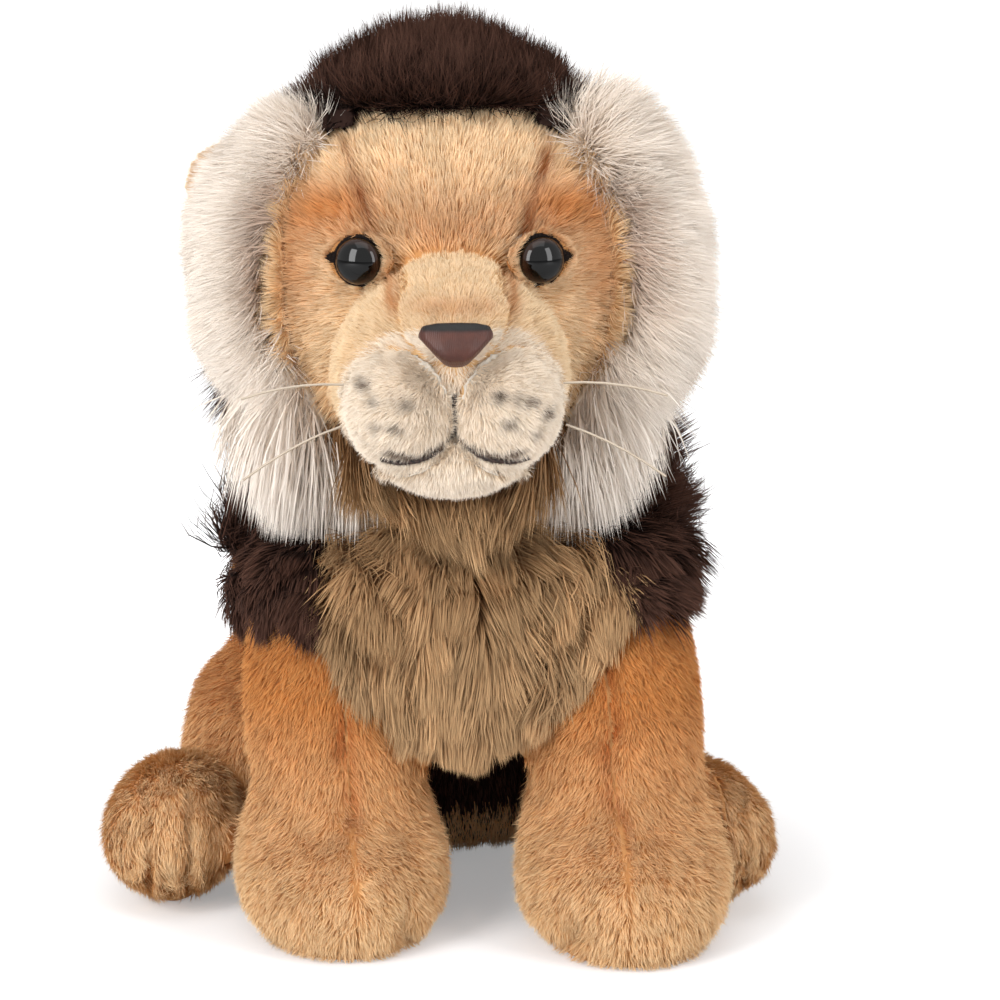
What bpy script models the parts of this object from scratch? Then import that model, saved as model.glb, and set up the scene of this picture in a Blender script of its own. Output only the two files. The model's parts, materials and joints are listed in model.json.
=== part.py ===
"""A sitting plush lion, built from its sewn and stuffed pieces.

Metres, +Z up. The lion faces -Y and its own left side is +X. The floor is z = 0.
"""
import math

import bmesh
import bpy
from mathutils import Matrix, Vector

# Clearances shared by all pieces
SEAM_GAP = 0.0003
CUT_OVERRUN = 0.004
SPIN_MERGE = 0.00001

# Where the body sits: the neck is the reference, set so that the whole toy is centred
NECK_HEIGHT = 0.122
NECK_SETBACK = -0.0060
NECK_ASIDE = 0.0063

# Torso, with the pellet bag and its base panel
TORSO_HEIGHT = 0.120
TORSO_WIDTH = 0.108
TORSO_DEPTH = 0.094
TORSO_SEAT_BACK = 0.042
TORSO_RING_SHARES = (
    (-0.004, 0.00, 0.00, 0.00),
    (-0.004, 0.45, 0.48, 0.00),
    (0.010, 0.80, 0.82, 0.00),
    (0.130, 0.98, 1.00, 0.02),
    (0.330, 1.00, 1.00, 0.14),
    (0.520, 0.95, 0.90, 0.38),
    (0.700, 0.86, 0.78, 0.70),
    (0.860, 0.68, 0.62, 0.93),
    (0.970, 0.38, 0.36, 1.00),
    (1.000, 0.00, 0.00, 1.00),
)
PELLET_POCKET_RADIUS = 0.029
PELLET_POCKET_HEIGHT = 0.026
BASE_PANEL_RADIUS = 0.033
BASE_PANEL_THICKNESS = 0.002
BELLY_PANEL_WIDTH = 0.046
BELLY_PANEL_TOP = 0.066
BELLY_PANEL_FOOT = 0.006
BELLY_PANEL_THICKNESS = 0.004
BELLY_PANEL_AHEAD_SHARE = 0.75

# Front legs, one sewn limb each from shoulder to paw
FRONT_LEG_HEIGHT = 0.098
FRONT_LEG_WIDTH = 0.056
FRONT_LEG_DEPTH = 0.066
FRONT_LEG_SPREAD = {"left": 0.0385, "right": 0.0335}
FRONT_LEG_SHOULDER_AHEAD = 0.026
FRONT_LEG_SLANT = {"left": 0.042, "right": 0.027}
FRONT_LEG_RING_SHARES = (
    (1.000, 0.00, 0.00, 0.00),
    (0.950, 0.55, 0.55, 0.04),
    (0.800, 0.88, 0.80, 0.22),
    (0.600, 0.92, 0.80, 0.48),
    (0.400, 0.94, 0.79, 0.72),
    (0.270, 0.98, 0.83, 0.86),
    (0.145, 1.06, 1.12, 1.05),
    (0.012, 0.92, 1.02, 1.10),
    (-0.005, 0.50, 0.55, 1.08),
    (-0.005, 0.00, 0.00, 1.08),
)

# Hind legs: a haunch against the torso and a foot in front of it
HAUNCH_HEIGHT = 0.073
HAUNCH_WIDTH = 0.046
HAUNCH_DEPTH = 0.084
HAUNCH_SPREAD = 0.050
HAUNCH_BACK = 0.024
HAUNCH_LEAN = 0.008
HAUNCH_RING_SHARES = (
    (-0.007, 0.00, 0.00, 0.00),
    (-0.007, 0.50, 0.50, 0.00),
    (0.030, 0.86, 0.86, 0.00),
    (0.240, 1.00, 1.00, 0.05),
    (0.520, 0.95, 0.95, 0.30),
    (0.780, 0.72, 0.74, 0.70),
    (0.940, 0.40, 0.42, 0.95),
    (1.000, 0.00, 0.00, 1.00),
)
HIND_FOOT_LENGTH = 0.062
HIND_FOOT_WIDTH = 0.042
HIND_FOOT_HEIGHT = 0.040
HIND_FOOT_SPREAD = {"left": 0.0550, "right": 0.0675}
HIND_FOOT_HEEL_BACK = {"left": -0.010, "right": 0.012}
HIND_FOOT_SPLAY_DEG = 13
HIND_FOOT_RING_SHARES = (
    (0.00, 0.00, 0.00, 0.52),
    (0.08, 0.56, 0.50, 0.50),
    (0.28, 0.88, 0.92, 0.50),
    (0.55, 1.00, 1.04, 0.50),
    (0.80, 0.92, 0.92, 0.46),
    (0.95, 0.56, 0.54, 0.40),
    (1.00, 0.00, 0.00, 0.38),
)

# Tail with its dark tuft, swinging on an upright seam behind the seat
TAIL_RADIUS = 0.0055
TAIL_SIDE_REACH = 0.058
TAIL_BACK_REACH = 0.022
TAIL_ROOT_REACH_SHARE = 0.81
TAIL_ROOT_RING = 3
TAIL_ROOT_SHARES = ((-1.15, 0.00), (-0.85, 0.56), (0.00, 0.84))
TAIL_PATH_SHARES = (
    (0.02, 0.22, 0.92),
    (0.10, 0.62, 0.78),
    (0.30, 0.92, 0.62),
    (0.58, 1.00, 0.54),
    (0.82, 0.86, 0.50),
    (1.00, 0.52, 0.50),
)
TAIL_TUFT_RADIUS = 0.0085
TAIL_TUFT_LENGTH = 0.032
TAIL_TUFT_HEADING_DEG = -52
TAIL_TUFT_OVERLAP = 0.007

# Chest bib of long ticked fur
BIB_TOP = 0.105
BIB_LENGTH = 0.063
BIB_WIDTH = 0.088
BIB_DEPTH = 0.046
BIB_TOP_FORWARD = 0.029
BIB_LEAN = 0.031
BIB_RING_SHARES = (
    (0.00, 0.00, 0.00, 0.00),
    (0.05, 0.58, 0.50, 0.02),
    (0.20, 0.96, 0.86, 0.20),
    (0.42, 1.00, 1.00, 0.45),
    (0.66, 0.76, 0.86, 0.72),
    (0.87, 0.40, 0.56, 0.93),
    (0.97, 0.18, 0.26, 1.00),
    (1.00, 0.00, 0.00, 1.00),
)

# Shoulder mane: three dark pieces on one circle round the shoulders
MANE_CIRCLE_RADIUS = 0.050
MANE_CIRCLE_FORWARD = 0.004
MANE_HEIGHT = 0.087
MANE_THICKNESS = 0.037
MANE_DROP = 0.040
MANE_FRONT_DEG = -52
MANE_SIDE_END_DEG = 44
MANE_BACK_START_DEG = 36
MANE_BACK_INSET = 0.037
MANE_BACK_DROP = 0.054
MANE_SWELL_SHARES = (
    (0.00, 0.00),
    (0.05, 0.55),
    (0.20, 0.92),
    (0.50, 1.00),
    (0.80, 0.92),
    (0.95, 0.55),
    (1.00, 0.00),
)

# Neck: a ball of packed filling between the torso and the head
NECK_BALL_RADIUS = 0.022
NECK_CLEARANCE = 0.0005
NECK_SPREAD = 0.130
NECK_ROOM_HEIGHT = 0.060
HEAD_SIDE_SLOPE_DEG = 13
BODY_SIDE_SLOPE_DEG = 21
HEAD_REST_TURN_DEG = -5.5

# Head, measured from the middle of the neck ball
HEAD_BASE_DROP = 0.0085
HEAD_HEIGHT = 0.103
HEAD_WIDTH = 0.100
HEAD_DEPTH = 0.090
HEAD_FORWARD = 0.016
HEAD_RING_SHARES = (
    (0.00, 0.00, 0.00, 1.00),
    (0.07, 0.52, 0.54, 1.00),
    (0.20, 0.80, 0.80, 1.00),
    (0.37, 0.96, 0.95, 1.00),
    (0.54, 1.00, 1.00, 1.00),
    (0.71, 0.97, 0.96, 1.00),
    (0.86, 0.82, 0.80, 1.00),
    (0.96, 0.50, 0.50, 1.00),
    (1.00, 0.00, 0.00, 1.00),
)
HEAD_MIDDLE_SHARE = 0.53

# Cream ruff, one crescent on each side of the face
RUFF_WALL = 0.020
RUFF_DEPTH = 0.044
RUFF_FORWARD = 0.0205
RUFF_TOP_DEG = 56
RUFF_BOTTOM_DEG = -66
RUFF_SWELL_SHARES = (
    (0.00, 0.00),
    (0.06, 0.50),
    (0.20, 0.84),
    (0.42, 1.00),
    (0.66, 1.02),
    (0.84, 0.86),
    (0.96, 0.50),
    (1.00, 0.00),
)

# Dark crown that runs from the brow over the back of the head to the nape
CROWN_BASE_DROP = 0.022
CROWN_HEIGHT = 0.135
CROWN_WIDTH = 0.120
CROWN_DEPTH = 0.104
CROWN_BACK = -0.002
CROWN_RING_SHARES = (
    (0.00, 0.00, 0.00, 1.00),
    (0.07, 0.50, 0.50, 1.00),
    (0.21, 0.80, 0.80, 1.00),
    (0.38, 0.96, 0.96, 1.00),
    (0.56, 1.00, 1.00, 1.00),
    (0.72, 0.91, 0.91, 1.00),
    (0.865, 0.70, 0.70, 1.00),
    (0.96, 0.40, 0.40, 1.00),
    (1.00, 0.00, 0.00, 1.00),
)

# Ears, folding on a seam that lies along the side of the head
EAR_REACH = 0.022
EAR_THICKNESS = 0.0046
EAR_TALL = 0.024
EAR_TILT_DEG = 16
EAR_ROOT_RING = 5
EAR_BACK = 0.004
EAR_SEAT_GAP = 0.0004
EAR_ROOM_MARGIN = 0.0035
EAR_ROOM_SWING = 0.0065

# Muzzle: tan cheeks, bridge, two white pads and a white chin
CHEEK_WIDTH = 0.062
CHEEK_DEPTH = 0.052
CHEEK_HEIGHT = 0.058
CHEEK_AHEAD = 0.042
CHEEK_RISE = 0.026
BRIDGE_WIDTH = 0.032
BRIDGE_LENGTH = 0.046
BRIDGE_THICKNESS = 0.018
BRIDGE_AHEAD = 0.050
BRIDGE_RISE = 0.0455
BRIDGE_SLOPE_DEG = 27
PAD_WIDTH = 0.031
PAD_DEPTH = 0.034
PAD_HEIGHT = 0.033
PAD_APART = 0.026
PAD_AHEAD = 0.060
PAD_RISE = 0.021
CHIN_WIDTH = 0.042
CHIN_DEPTH = 0.034
CHIN_HEIGHT = 0.025
CHIN_AHEAD = 0.053
CHIN_RISE = 0.0085

# Nose pad, embroidered lip lines and whiskers
NOSE_WIDTH = 0.021
NOSE_HEIGHT = 0.0105
NOSE_THICKNESS = 0.009
NOSE_AHEAD = 0.0745
NOSE_RISE = 0.0393
NOSE_SLOPE_DEG = 30
NOSE_FOOT_SHARE = 0.35
LIP_THREAD_RADIUS = 0.0008
LIP_THREAD_MERGE = 0.00001
PHILTRUM_SHARES = (0.42, 0.22, 0.00, -0.22, -0.42)
MOUTH_REACH = 0.0185
MOUTH_PATH_SHARES = (
    (0.11, -0.50),
    (0.30, -0.66),
    (0.50, -0.73),
    (0.75, -0.76),
    (1.00, -0.70),
)
WHISKER_RADIUS = 0.0003
WHISKER_REACH = 0.026
WHISKER_RISE_SHARES = (("upper", 0.30, 0.10), ("lower", 0.02, -0.30))
WHISKER_CURL_SHARE = 0.18

# Safety eyes: dome and stem, felt rim under the dome, washer inside the head
EYE_APART_SHARE = 0.46
EYE_RISE = 0.055
EYE_YAW_DEG = 20
EYE_RADIUS = 0.006
EYE_DOME_HEIGHT = 0.0046
EYE_STEM_RADIUS = 0.0015
EYE_STEM_LENGTH = 0.0125
EYE_RIM_LENGTH = 0.0180
EYE_RIM_HEIGHT = 0.0145
EYE_RIM_THICKNESS = 0.0012
EYE_RIM_PINCH_SHARE = 0.25
EYE_SOCKET_RADIUS = 0.0095
EYE_SEAT_DEPTH = 0.0015
EYE_SOCKET_REACH = 0.012
EYE_WASHER_RADIUS = 0.0065
EYE_WASHER_THICKNESS = 0.0016
EYE_WASHER_DEPTH = 0.0060

# Mesh counts
BIG_FORM_SIDES = 10
SMALL_FORM_SIDES = 8
ROUND_SIDES = 16
ROUND_RINGS = 10
TURNED_STEPS = 24
EYE_STEPS = 20
ARC_POINTS = 6

# Colours and finishes: colour, roughness
FINISHES = {
    "tan_plush": ((0.56, 0.29, 0.11), 0.95),
    "pale_tan_plush": ((0.66, 0.42, 0.20), 0.95),
    "cream_plush": ((0.74, 0.68, 0.58), 0.95),
    "white_plush": ((0.80, 0.77, 0.72), 0.95),
    "dark_plush": ((0.055, 0.025, 0.016), 0.95),
    "ticked_plush": ((0.33, 0.21, 0.10), 0.95),
    "nose_satin": ((0.070, 0.026, 0.018), 0.45),
    "lip_thread": ((0.020, 0.012, 0.010), 0.70),
    "eye_plastic": ((0.012, 0.006, 0.004), 0.08),
    "rim_felt": ((0.010, 0.007, 0.006), 0.95),
    "washer_plastic": ((0.80, 0.80, 0.78), 0.50),
    "whisker_nylon": ((0.88, 0.87, 0.84), 0.30),
    "bag_cotton": ((0.72, 0.68, 0.60), 0.90),
    "packed_fibre": ((0.85, 0.84, 0.82), 1.00),
}


def clear_scene():
    for old in list(bpy.data.objects):
        bpy.data.objects.remove(old, do_unlink=True)


def make_collection(name):
    collection = bpy.data.collections.new(name)
    bpy.context.scene.collection.children.link(collection)
    return collection


def make_finish(name):
    colour, roughness = FINISHES[name]
    finish = bpy.data.materials.new(name)
    finish.use_nodes = True
    shader = finish.node_tree.nodes["Principled BSDF"]
    shader.inputs["Base Color"].default_value = (*colour, 1)
    shader.inputs["Roughness"].default_value = roughness
    shader.inputs["Metallic"].default_value = 0
    finish.diffuse_color = (*colour, 1)
    return finish


clear_scene()
LION = make_collection("plush_lion")
CUTTERS = make_collection("cutters")
FINISH = {name: make_finish(name) for name in FINISHES}


def make_empty(name, location, parent=None, turn=(0, 0, 0)):
    empty = bpy.data.objects.new(name, None)
    LION.objects.link(empty)
    empty.empty_display_size = NECK_BALL_RADIUS
    empty.parent = parent
    empty.location = location
    empty.rotation_euler = turn
    return empty


def place(item, parent, location=(0, 0, 0), turn=(0, 0, 0)):
    item.parent = parent
    item.location = location
    item.rotation_euler = turn
    return item


def add_object(name, data, finish):
    item = bpy.data.objects.new(name, data)
    LION.objects.link(item)
    data.materials.append(FINISH[finish])
    return item


def mesh_from(bm, name):
    bm.normal_update()
    mesh = bpy.data.meshes.new(name)
    bm.to_mesh(mesh)
    bm.free()
    mesh.shade_smooth()
    return mesh


def cage_factor(sides):
    """A subdivided ring shrinks inside its cage; this makes the cage larger to match."""
    return 3 / (2 + math.cos(2 * math.pi / sides))


def stuffed_form(name, finish, centres, halves, depth_axis, sides=BIG_FORM_SIDES):
    """A closed soft form: the rings of a sphere moved along a path, then subdivided.

    halves holds each ring's half width and half depth; the first and last rings are tips.
    """
    spans = len(centres) - 1
    bm = bmesh.new()
    bmesh.ops.create_uvsphere(bm, u_segments=sides, v_segments=spans, radius=1)
    growth = cage_factor(sides)
    for vert in bm.verts:
        ring = round(math.acos(max(-1, min(1, vert.co.z))) / math.pi * spans)
        before = centres[max(ring - 1, 0)]
        after = centres[min(ring + 1, spans)]
        tangent = (after - before).normalized()
        width_axis = tangent.cross(depth_axis).normalized()
        ring_depth_axis = width_axis.cross(tangent)
        angle = math.atan2(vert.co.y, vert.co.x)
        half_width, half_depth = halves[ring]
        across = width_axis * half_width * growth * math.cos(angle)
        deep = ring_depth_axis * half_depth * growth * math.sin(angle)
        vert.co = centres[ring] + across + deep
    item = add_object(name, mesh_from(bm, name), finish)
    soften = item.modifiers.new("stuffing", "SUBSURF")
    soften.levels = 1
    soften.render_levels = 1
    return item


def round_form(name, finish, width, depth, height, sides=ROUND_SIDES, rings=ROUND_RINGS):
    """A stuffed pad: a sphere with three sizes of its own."""
    bm = bmesh.new()
    bmesh.ops.create_uvsphere(bm, u_segments=sides, v_segments=rings, radius=1)
    bmesh.ops.scale(bm, vec=(width / 2, depth / 2, height / 2), verts=bm.verts)
    return add_object(name, mesh_from(bm, name), finish)


def upright_rings(shares, height, width, depth, lean, lean_axis=Vector((0, -1, 0))):
    """Ring centres and half sizes of a form that rises along Z and leans as it goes."""
    centres = [Vector((0, 0, row[0] * height)) + lean_axis * row[3] * lean for row in shares]
    halves = [(row[1] * width / 2, row[2] * depth / 2) for row in shares]
    return centres, halves


def smoothed_row(shares, index):
    """Where the subdivided surface runs, beside a row of its cage."""
    rows = zip(shares[index - 1], shares[index], shares[index + 1])
    return [(before + 4 * here + after) / 6 for before, here, after in rows]


def turned(name, finish, profile, steps=TURNED_STEPS):
    """A turned piece: its outer side from the top down, spun round Z."""
    mesh = bpy.data.meshes.new(name)
    edges = [(index, index + 1) for index in range(len(profile) - 1)]
    mesh.from_pydata([(radius, 0, height) for radius, height in profile], edges, [])
    item = add_object(name, mesh, finish)
    spin = item.modifiers.new("spin", "SCREW")
    spin.steps = steps
    spin.render_steps = steps
    spin.use_merge_vertices = True
    spin.merge_threshold = SPIN_MERGE
    spin.use_smooth_shade = True
    return item


def arc_profile(radius, height_scale, start_deg, end_deg, points):
    """Points on an arc in the profile plane, from one polar angle to another."""
    rows = []
    for index in range(points + 1):
        angle = math.radians(start_deg + (end_deg - start_deg) * index / points)
        rows.append((radius * math.cos(angle), radius * height_scale * math.sin(angle)))
    return rows


def as_cutter(item):
    """Moves an object to the cutters, where it only shapes others."""
    LION.objects.unlink(item)
    CUTTERS.objects.link(item)
    item.hide_render = True
    item.display_type = "WIRE"
    return item


def grown_copy(item, margin):
    """A copy of a form's own shape, without its cuts, grown by a margin, as a cutter."""
    copy = bpy.data.objects.new(item.name + "_room", item.data)
    CUTTERS.objects.link(copy)
    copy.parent = item.parent
    copy.location = item.location
    copy.rotation_euler = item.rotation_euler
    copy.hide_render = True
    copy.display_type = "WIRE"
    if "stuffing" in item.modifiers:
        soften = copy.modifiers.new("stuffing", "SUBSURF")
        soften.levels = item.modifiers["stuffing"].levels
        soften.render_levels = item.modifiers["stuffing"].levels
    grow = copy.modifiers.new("grow", "DISPLACE")
    grow.strength = margin
    grow.mid_level = 0
    return copy


def cut(item, *cutters, operation="DIFFERENCE", solver="EXACT"):
    for cutter in cutters:
        step = item.modifiers.new("cut by " + cutter.name, "BOOLEAN")
        step.operation = operation
        step.solver = solver
        step.object = cutter
    return item


ROOMS = {}


def room(item, margin=SEAM_GAP):
    """The space that a larger piece needs, which smaller neighbours are cut by."""
    key = (item.name, margin)
    if key not in ROOMS:
        ROOMS[key] = grown_copy(item, margin)
    return ROOMS[key]


def seat_against(item, *larger, solver="EXACT"):
    """Cuts a piece by its larger neighbours, which leaves the sewing gap between them."""
    return cut(item, *[room(other) for other in larger], solver=solver)


def floor_cutter(body):
    bm = bmesh.new()
    bmesh.ops.create_cube(bm, size=1)
    reach = TORSO_WIDTH + HAUNCH_DEPTH
    deep = HIND_FOOT_HEIGHT
    bmesh.ops.scale(bm, vec=(2 * reach, 2 * reach, deep), verts=bm.verts)
    bmesh.ops.translate(bm, vec=(0, 0, -deep / 2), verts=bm.verts)
    return as_cutter(place(add_object("floor_cut", mesh_from(bm, "floor_cut"), "tan_plush"), body))


def neck_profiles():
    """The two sides of the neck: below the head's slope, and above the body's slope."""
    ball = NECK_BALL_RADIUS + NECK_CLEARANCE
    head_fall = NECK_SPREAD * math.tan(math.radians(HEAD_SIDE_SLOPE_DEG))
    body_fall = NECK_SPREAD * math.tan(math.radians(BODY_SIDE_SLOPE_DEG))
    under_head = arc_profile(ball, 1, 90, -HEAD_SIDE_SLOPE_DEG, ARC_POINTS + 2)
    under_head[0] = (0, ball)
    under_head += [(NECK_SPREAD, -head_fall), (NECK_SPREAD, -NECK_ROOM_HEIGHT), (0, -NECK_ROOM_HEIGHT)]
    over_body = [(0, NECK_ROOM_HEIGHT), (NECK_SPREAD, NECK_ROOM_HEIGHT), (NECK_SPREAD, -body_fall)]
    over_body += arc_profile(ball, 1, -BODY_SIDE_SLOPE_DEG, -90, ARC_POINTS)
    over_body[-1] = (0, -ball)
    return under_head, over_body


def neck_cutters(body, neck):
    under_head, over_body = neck_profiles()
    head_side = as_cutter(place(turned("under_head", "tan_plush", under_head), neck))
    body_side = turned("over_body", "tan_plush", over_body)
    as_cutter(place(body_side, body, (0, 0, NECK_HEIGHT)))
    return head_side, body_side


def neck_plug(neck):
    profile = arc_profile(NECK_BALL_RADIUS, 1, 90, -90, 2 * ARC_POINTS)
    profile[0] = (0, NECK_BALL_RADIUS)
    profile[-1] = (0, -NECK_BALL_RADIUS)
    return place(turned("neck_plug", "packed_fibre", profile), neck)


def torso_form(body, floor, over_body):
    centres, halves = upright_rings(
        TORSO_RING_SHARES, TORSO_HEIGHT, TORSO_WIDTH, TORSO_DEPTH, TORSO_SEAT_BACK
    )
    torso = stuffed_form("torso", "tan_plush", centres, halves, Vector((0, 1, 0)))
    place(torso, body, (0, TORSO_SEAT_BACK, 0))
    pocket_top = BASE_PANEL_THICKNESS + PELLET_POCKET_HEIGHT
    profile = [
        (0, pocket_top),
        (PELLET_POCKET_RADIUS, pocket_top),
        (PELLET_POCKET_RADIUS, BASE_PANEL_THICKNESS + SEAM_GAP),
        (BASE_PANEL_RADIUS, BASE_PANEL_THICKNESS + SEAM_GAP),
        (BASE_PANEL_RADIUS, -CUT_OVERRUN),
        (0, -CUT_OVERRUN),
    ]
    pocket = turned("pellet_pocket", "tan_plush", profile)
    as_cutter(place(pocket, body, (0, TORSO_SEAT_BACK, 0)))
    return cut(torso, floor, over_body, pocket)


def seat_pieces(body):
    """The base panel closes the pocket, and the pellet bag lies on it."""
    radius = BASE_PANEL_RADIUS - SEAM_GAP
    profile = [(0, BASE_PANEL_THICKNESS), (radius, BASE_PANEL_THICKNESS), (radius, 0), (0, 0)]
    place(turned("base_panel", "tan_plush", profile), body, (0, TORSO_SEAT_BACK, 0))
    width = 2 * (PELLET_POCKET_RADIUS - SEAM_GAP)
    height = PELLET_POCKET_HEIGHT - 2 * SEAM_GAP
    bag = round_form("pellet_bag", "bag_cotton", width, width, height)
    middle = BASE_PANEL_THICKNESS + SEAM_GAP + height / 2
    place(bag, body, (0, TORSO_SEAT_BACK, middle))


def front_leg(body, side, name):
    centres, halves = upright_rings(
        FRONT_LEG_RING_SHARES,
        FRONT_LEG_HEIGHT,
        FRONT_LEG_WIDTH,
        FRONT_LEG_DEPTH,
        FRONT_LEG_SLANT[name],
    )
    leg = stuffed_form("front_leg_" + name, "tan_plush", centres, halves, Vector((0, 1, 0)))
    return place(leg, body, (side * FRONT_LEG_SPREAD[name], -FRONT_LEG_SHOULDER_AHEAD, 0))


def haunch(body, side, name):
    centres, halves = upright_rings(
        HAUNCH_RING_SHARES,
        HAUNCH_HEIGHT,
        HAUNCH_WIDTH,
        HAUNCH_DEPTH,
        HAUNCH_LEAN,
        Vector((-side, 0, 0)),
    )
    form = stuffed_form("haunch_" + name, "tan_plush", centres, halves, Vector((0, 1, 0)))
    return place(form, body, (side * HAUNCH_SPREAD, HAUNCH_BACK, 0))


def hind_foot(body, side, name):
    """The foot runs forward from its heel, lowest under its thickest part."""
    rows = HIND_FOOT_RING_SHARES
    centres = [Vector((0, -row[0] * HIND_FOOT_LENGTH, row[3] * HIND_FOOT_HEIGHT)) for row in rows]
    halves = [(row[1] * HIND_FOOT_WIDTH / 2, row[2] * HIND_FOOT_HEIGHT / 2) for row in rows]
    foot = stuffed_form("hind_foot_" + name, "tan_plush", centres, halves, Vector((0, 0, 1)))
    turn = (0, 0, side * math.radians(HIND_FOOT_SPLAY_DEG))
    heel = (side * HIND_FOOT_SPREAD[name], HIND_FOOT_HEEL_BACK[name], 0)
    return place(foot, body, heel, turn)


def chest_bib(body):
    rows = BIB_RING_SHARES
    centres = [Vector((0, -row[3] * BIB_LEAN, -row[0] * BIB_LENGTH)) for row in rows]
    halves = [(row[1] * BIB_WIDTH / 2, row[2] * BIB_DEPTH / 2) for row in rows]
    bib = stuffed_form("chest_bib", "ticked_plush", centres, halves, Vector((0, 1, 0)))
    return place(bib, body, (0, -BIB_TOP_FORWARD, BIB_TOP))


def mane_piece(body, name, start_deg, end_deg, drop=MANE_DROP, set_back=0):
    centres = []
    halves = []
    for along, swell in MANE_SWELL_SHARES:
        angle = math.radians(start_deg + (end_deg - start_deg) * along)
        reach = MANE_CIRCLE_RADIUS
        centres.append(Vector((reach * math.cos(angle), reach * math.sin(angle), 0)))
        halves.append((swell * MANE_THICKNESS / 2, swell * drop / 2))
    form = stuffed_form(
        name, "dark_plush", centres, halves, Vector((0, 0, 1)), SMALL_FORM_SIDES
    )
    return place(form, body, (0, set_back - MANE_CIRCLE_FORWARD, MANE_HEIGHT))


def belly_panel(body, torso):
    """A dark panel that follows the torso's own curve between the front legs."""
    panel = bpy.data.objects.new("belly_panel", torso.data.copy())
    LION.objects.link(panel)
    panel.data.materials.clear()
    panel.data.materials.append(FINISH["dark_plush"])
    place(panel, body, torso.location)
    soften = panel.modifiers.new("stuffing", "SUBSURF")
    soften.levels = 1
    soften.render_levels = 1
    grow = panel.modifiers.new("thickness", "DISPLACE")
    grow.strength = BELLY_PANEL_THICKNESS
    grow.mid_level = 0
    bm = bmesh.new()
    bmesh.ops.create_cube(bm, size=1)
    tall = BELLY_PANEL_TOP - BELLY_PANEL_FOOT
    bmesh.ops.scale(bm, vec=(BELLY_PANEL_WIDTH, TORSO_DEPTH, tall), verts=bm.verts)
    outline = add_object("belly_outline", mesh_from(bm, "belly_outline"), "dark_plush")
    middle = (0, TORSO_SEAT_BACK - TORSO_DEPTH * BELLY_PANEL_AHEAD_SHARE, BELLY_PANEL_FOOT + tall / 2)
    as_cutter(place(outline, body, middle))
    cut(panel, outline, operation="INTERSECT", solver="MANIFOLD")
    return seat_against(panel, torso, solver="MANIFOLD")


def tail_pieces(body, torso):
    """The tail's root is a round end on the hinge, just clear of the seat."""
    level, _, deep, lean = smoothed_row(TORSO_RING_SHARES, TAIL_ROOT_RING)
    torso_back = TORSO_SEAT_BACK * (1 - lean) + deep * TORSO_DEPTH / 2
    root_height = level * TORSO_HEIGHT
    hinge_place = (0, torso_back + TAIL_ROOT_REACH_SHARE * TAIL_RADIUS, root_height)
    hinge = make_empty("tail_hinge", hinge_place, body)
    centres = [Vector((0, run * TAIL_RADIUS, 0)) for run, swell in TAIL_ROOT_SHARES]
    halves = [(swell * TAIL_RADIUS, swell * TAIL_RADIUS) for run, swell in TAIL_ROOT_SHARES]
    for across, back, height in TAIL_PATH_SHARES:
        drop = (height - 1) * root_height
        centres.append(Vector((across * TAIL_SIDE_REACH, back * TAIL_BACK_REACH, drop)))
        halves.append((TAIL_RADIUS, TAIL_RADIUS))
    halves[-1] = (0, 0)
    tail = stuffed_form(
        "tail", "tan_plush", centres, halves, Vector((0, 0, 1)), SMALL_FORM_SIDES
    )
    place(tail, hinge)
    tuft = round_form(
        "tail_tuft", "dark_plush", TAIL_TUFT_LENGTH, 2 * TAIL_TUFT_RADIUS, 2 * TAIL_TUFT_RADIUS
    )
    heading = math.radians(TAIL_TUFT_HEADING_DEG)
    ahead = TAIL_TUFT_LENGTH / 2 - TAIL_TUFT_OVERLAP
    end = centres[-1]
    rise = TAIL_TUFT_RADIUS - TAIL_RADIUS
    place(
        tuft,
        hinge,
        (end.x + ahead * math.cos(heading), end.y + ahead * math.sin(heading), end.z + rise),
        (0, 0, heading),
    )
    seat_against(tuft, tail)


def build_body():
    body = make_empty("lion_rest", (NECK_ASIDE, NECK_SETBACK, 0))
    neck = make_empty("neck_turn", (0, 0, NECK_HEIGHT), body, (0, 0, math.radians(HEAD_REST_TURN_DEG)))
    floor = floor_cutter(body)
    under_head, over_body = neck_cutters(body, neck)
    neck_plug(neck)
    torso = torso_form(body, floor, over_body)
    seat_pieces(body)
    legs = []
    haunches = []
    for side, name in ((1, "left"), (-1, "right")):
        leg = cut(front_leg(body, side, name), floor, over_body)
        legs.append(seat_against(leg, torso))
        hip = cut(haunch(body, side, name), floor)
        haunches.append(seat_against(hip, torso, leg))
        foot = cut(hind_foot(body, side, name), floor)
        seat_against(foot, torso, leg, hip)
    bib = cut(chest_bib(body), over_body)
    seat_against(bib, torso, *legs)
    panel = belly_panel(body, torso)
    seat_against(panel, *legs, bib, solver="MANIFOLD")
    ends = (MANE_BACK_START_DEG, 180 - MANE_BACK_START_DEG)
    set_back = TORSO_DEPTH / 2 - MANE_BACK_INSET
    back = mane_piece(body, "mane_back", *ends, MANE_BACK_DROP, set_back)
    cut(back, over_body)
    seat_against(back, torso)
    for name, mirror in (("left", False), ("right", True)):
        ends = (MANE_FRONT_DEG, MANE_SIDE_END_DEG)
        if mirror:
            ends = (180 - MANE_FRONT_DEG, 180 - MANE_SIDE_END_DEG)
        side_mane = cut(mane_piece(body, "mane_" + name, *ends), over_body, solver="MANIFOLD")
        seat_against(side_mane, torso, *legs, *haunches, back, bib, solver="MANIFOLD")
    tail_pieces(body, torso)
    return neck, under_head


def head_form(neck, under_head):
    centres, halves = upright_rings(
        HEAD_RING_SHARES, HEAD_HEIGHT, HEAD_WIDTH, HEAD_DEPTH, HEAD_FORWARD
    )
    head = stuffed_form("head", "tan_plush", centres, halves, Vector((0, 1, 0)))
    place(head, neck, (0, 0, -HEAD_BASE_DROP))
    return cut(head, under_head)


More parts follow.
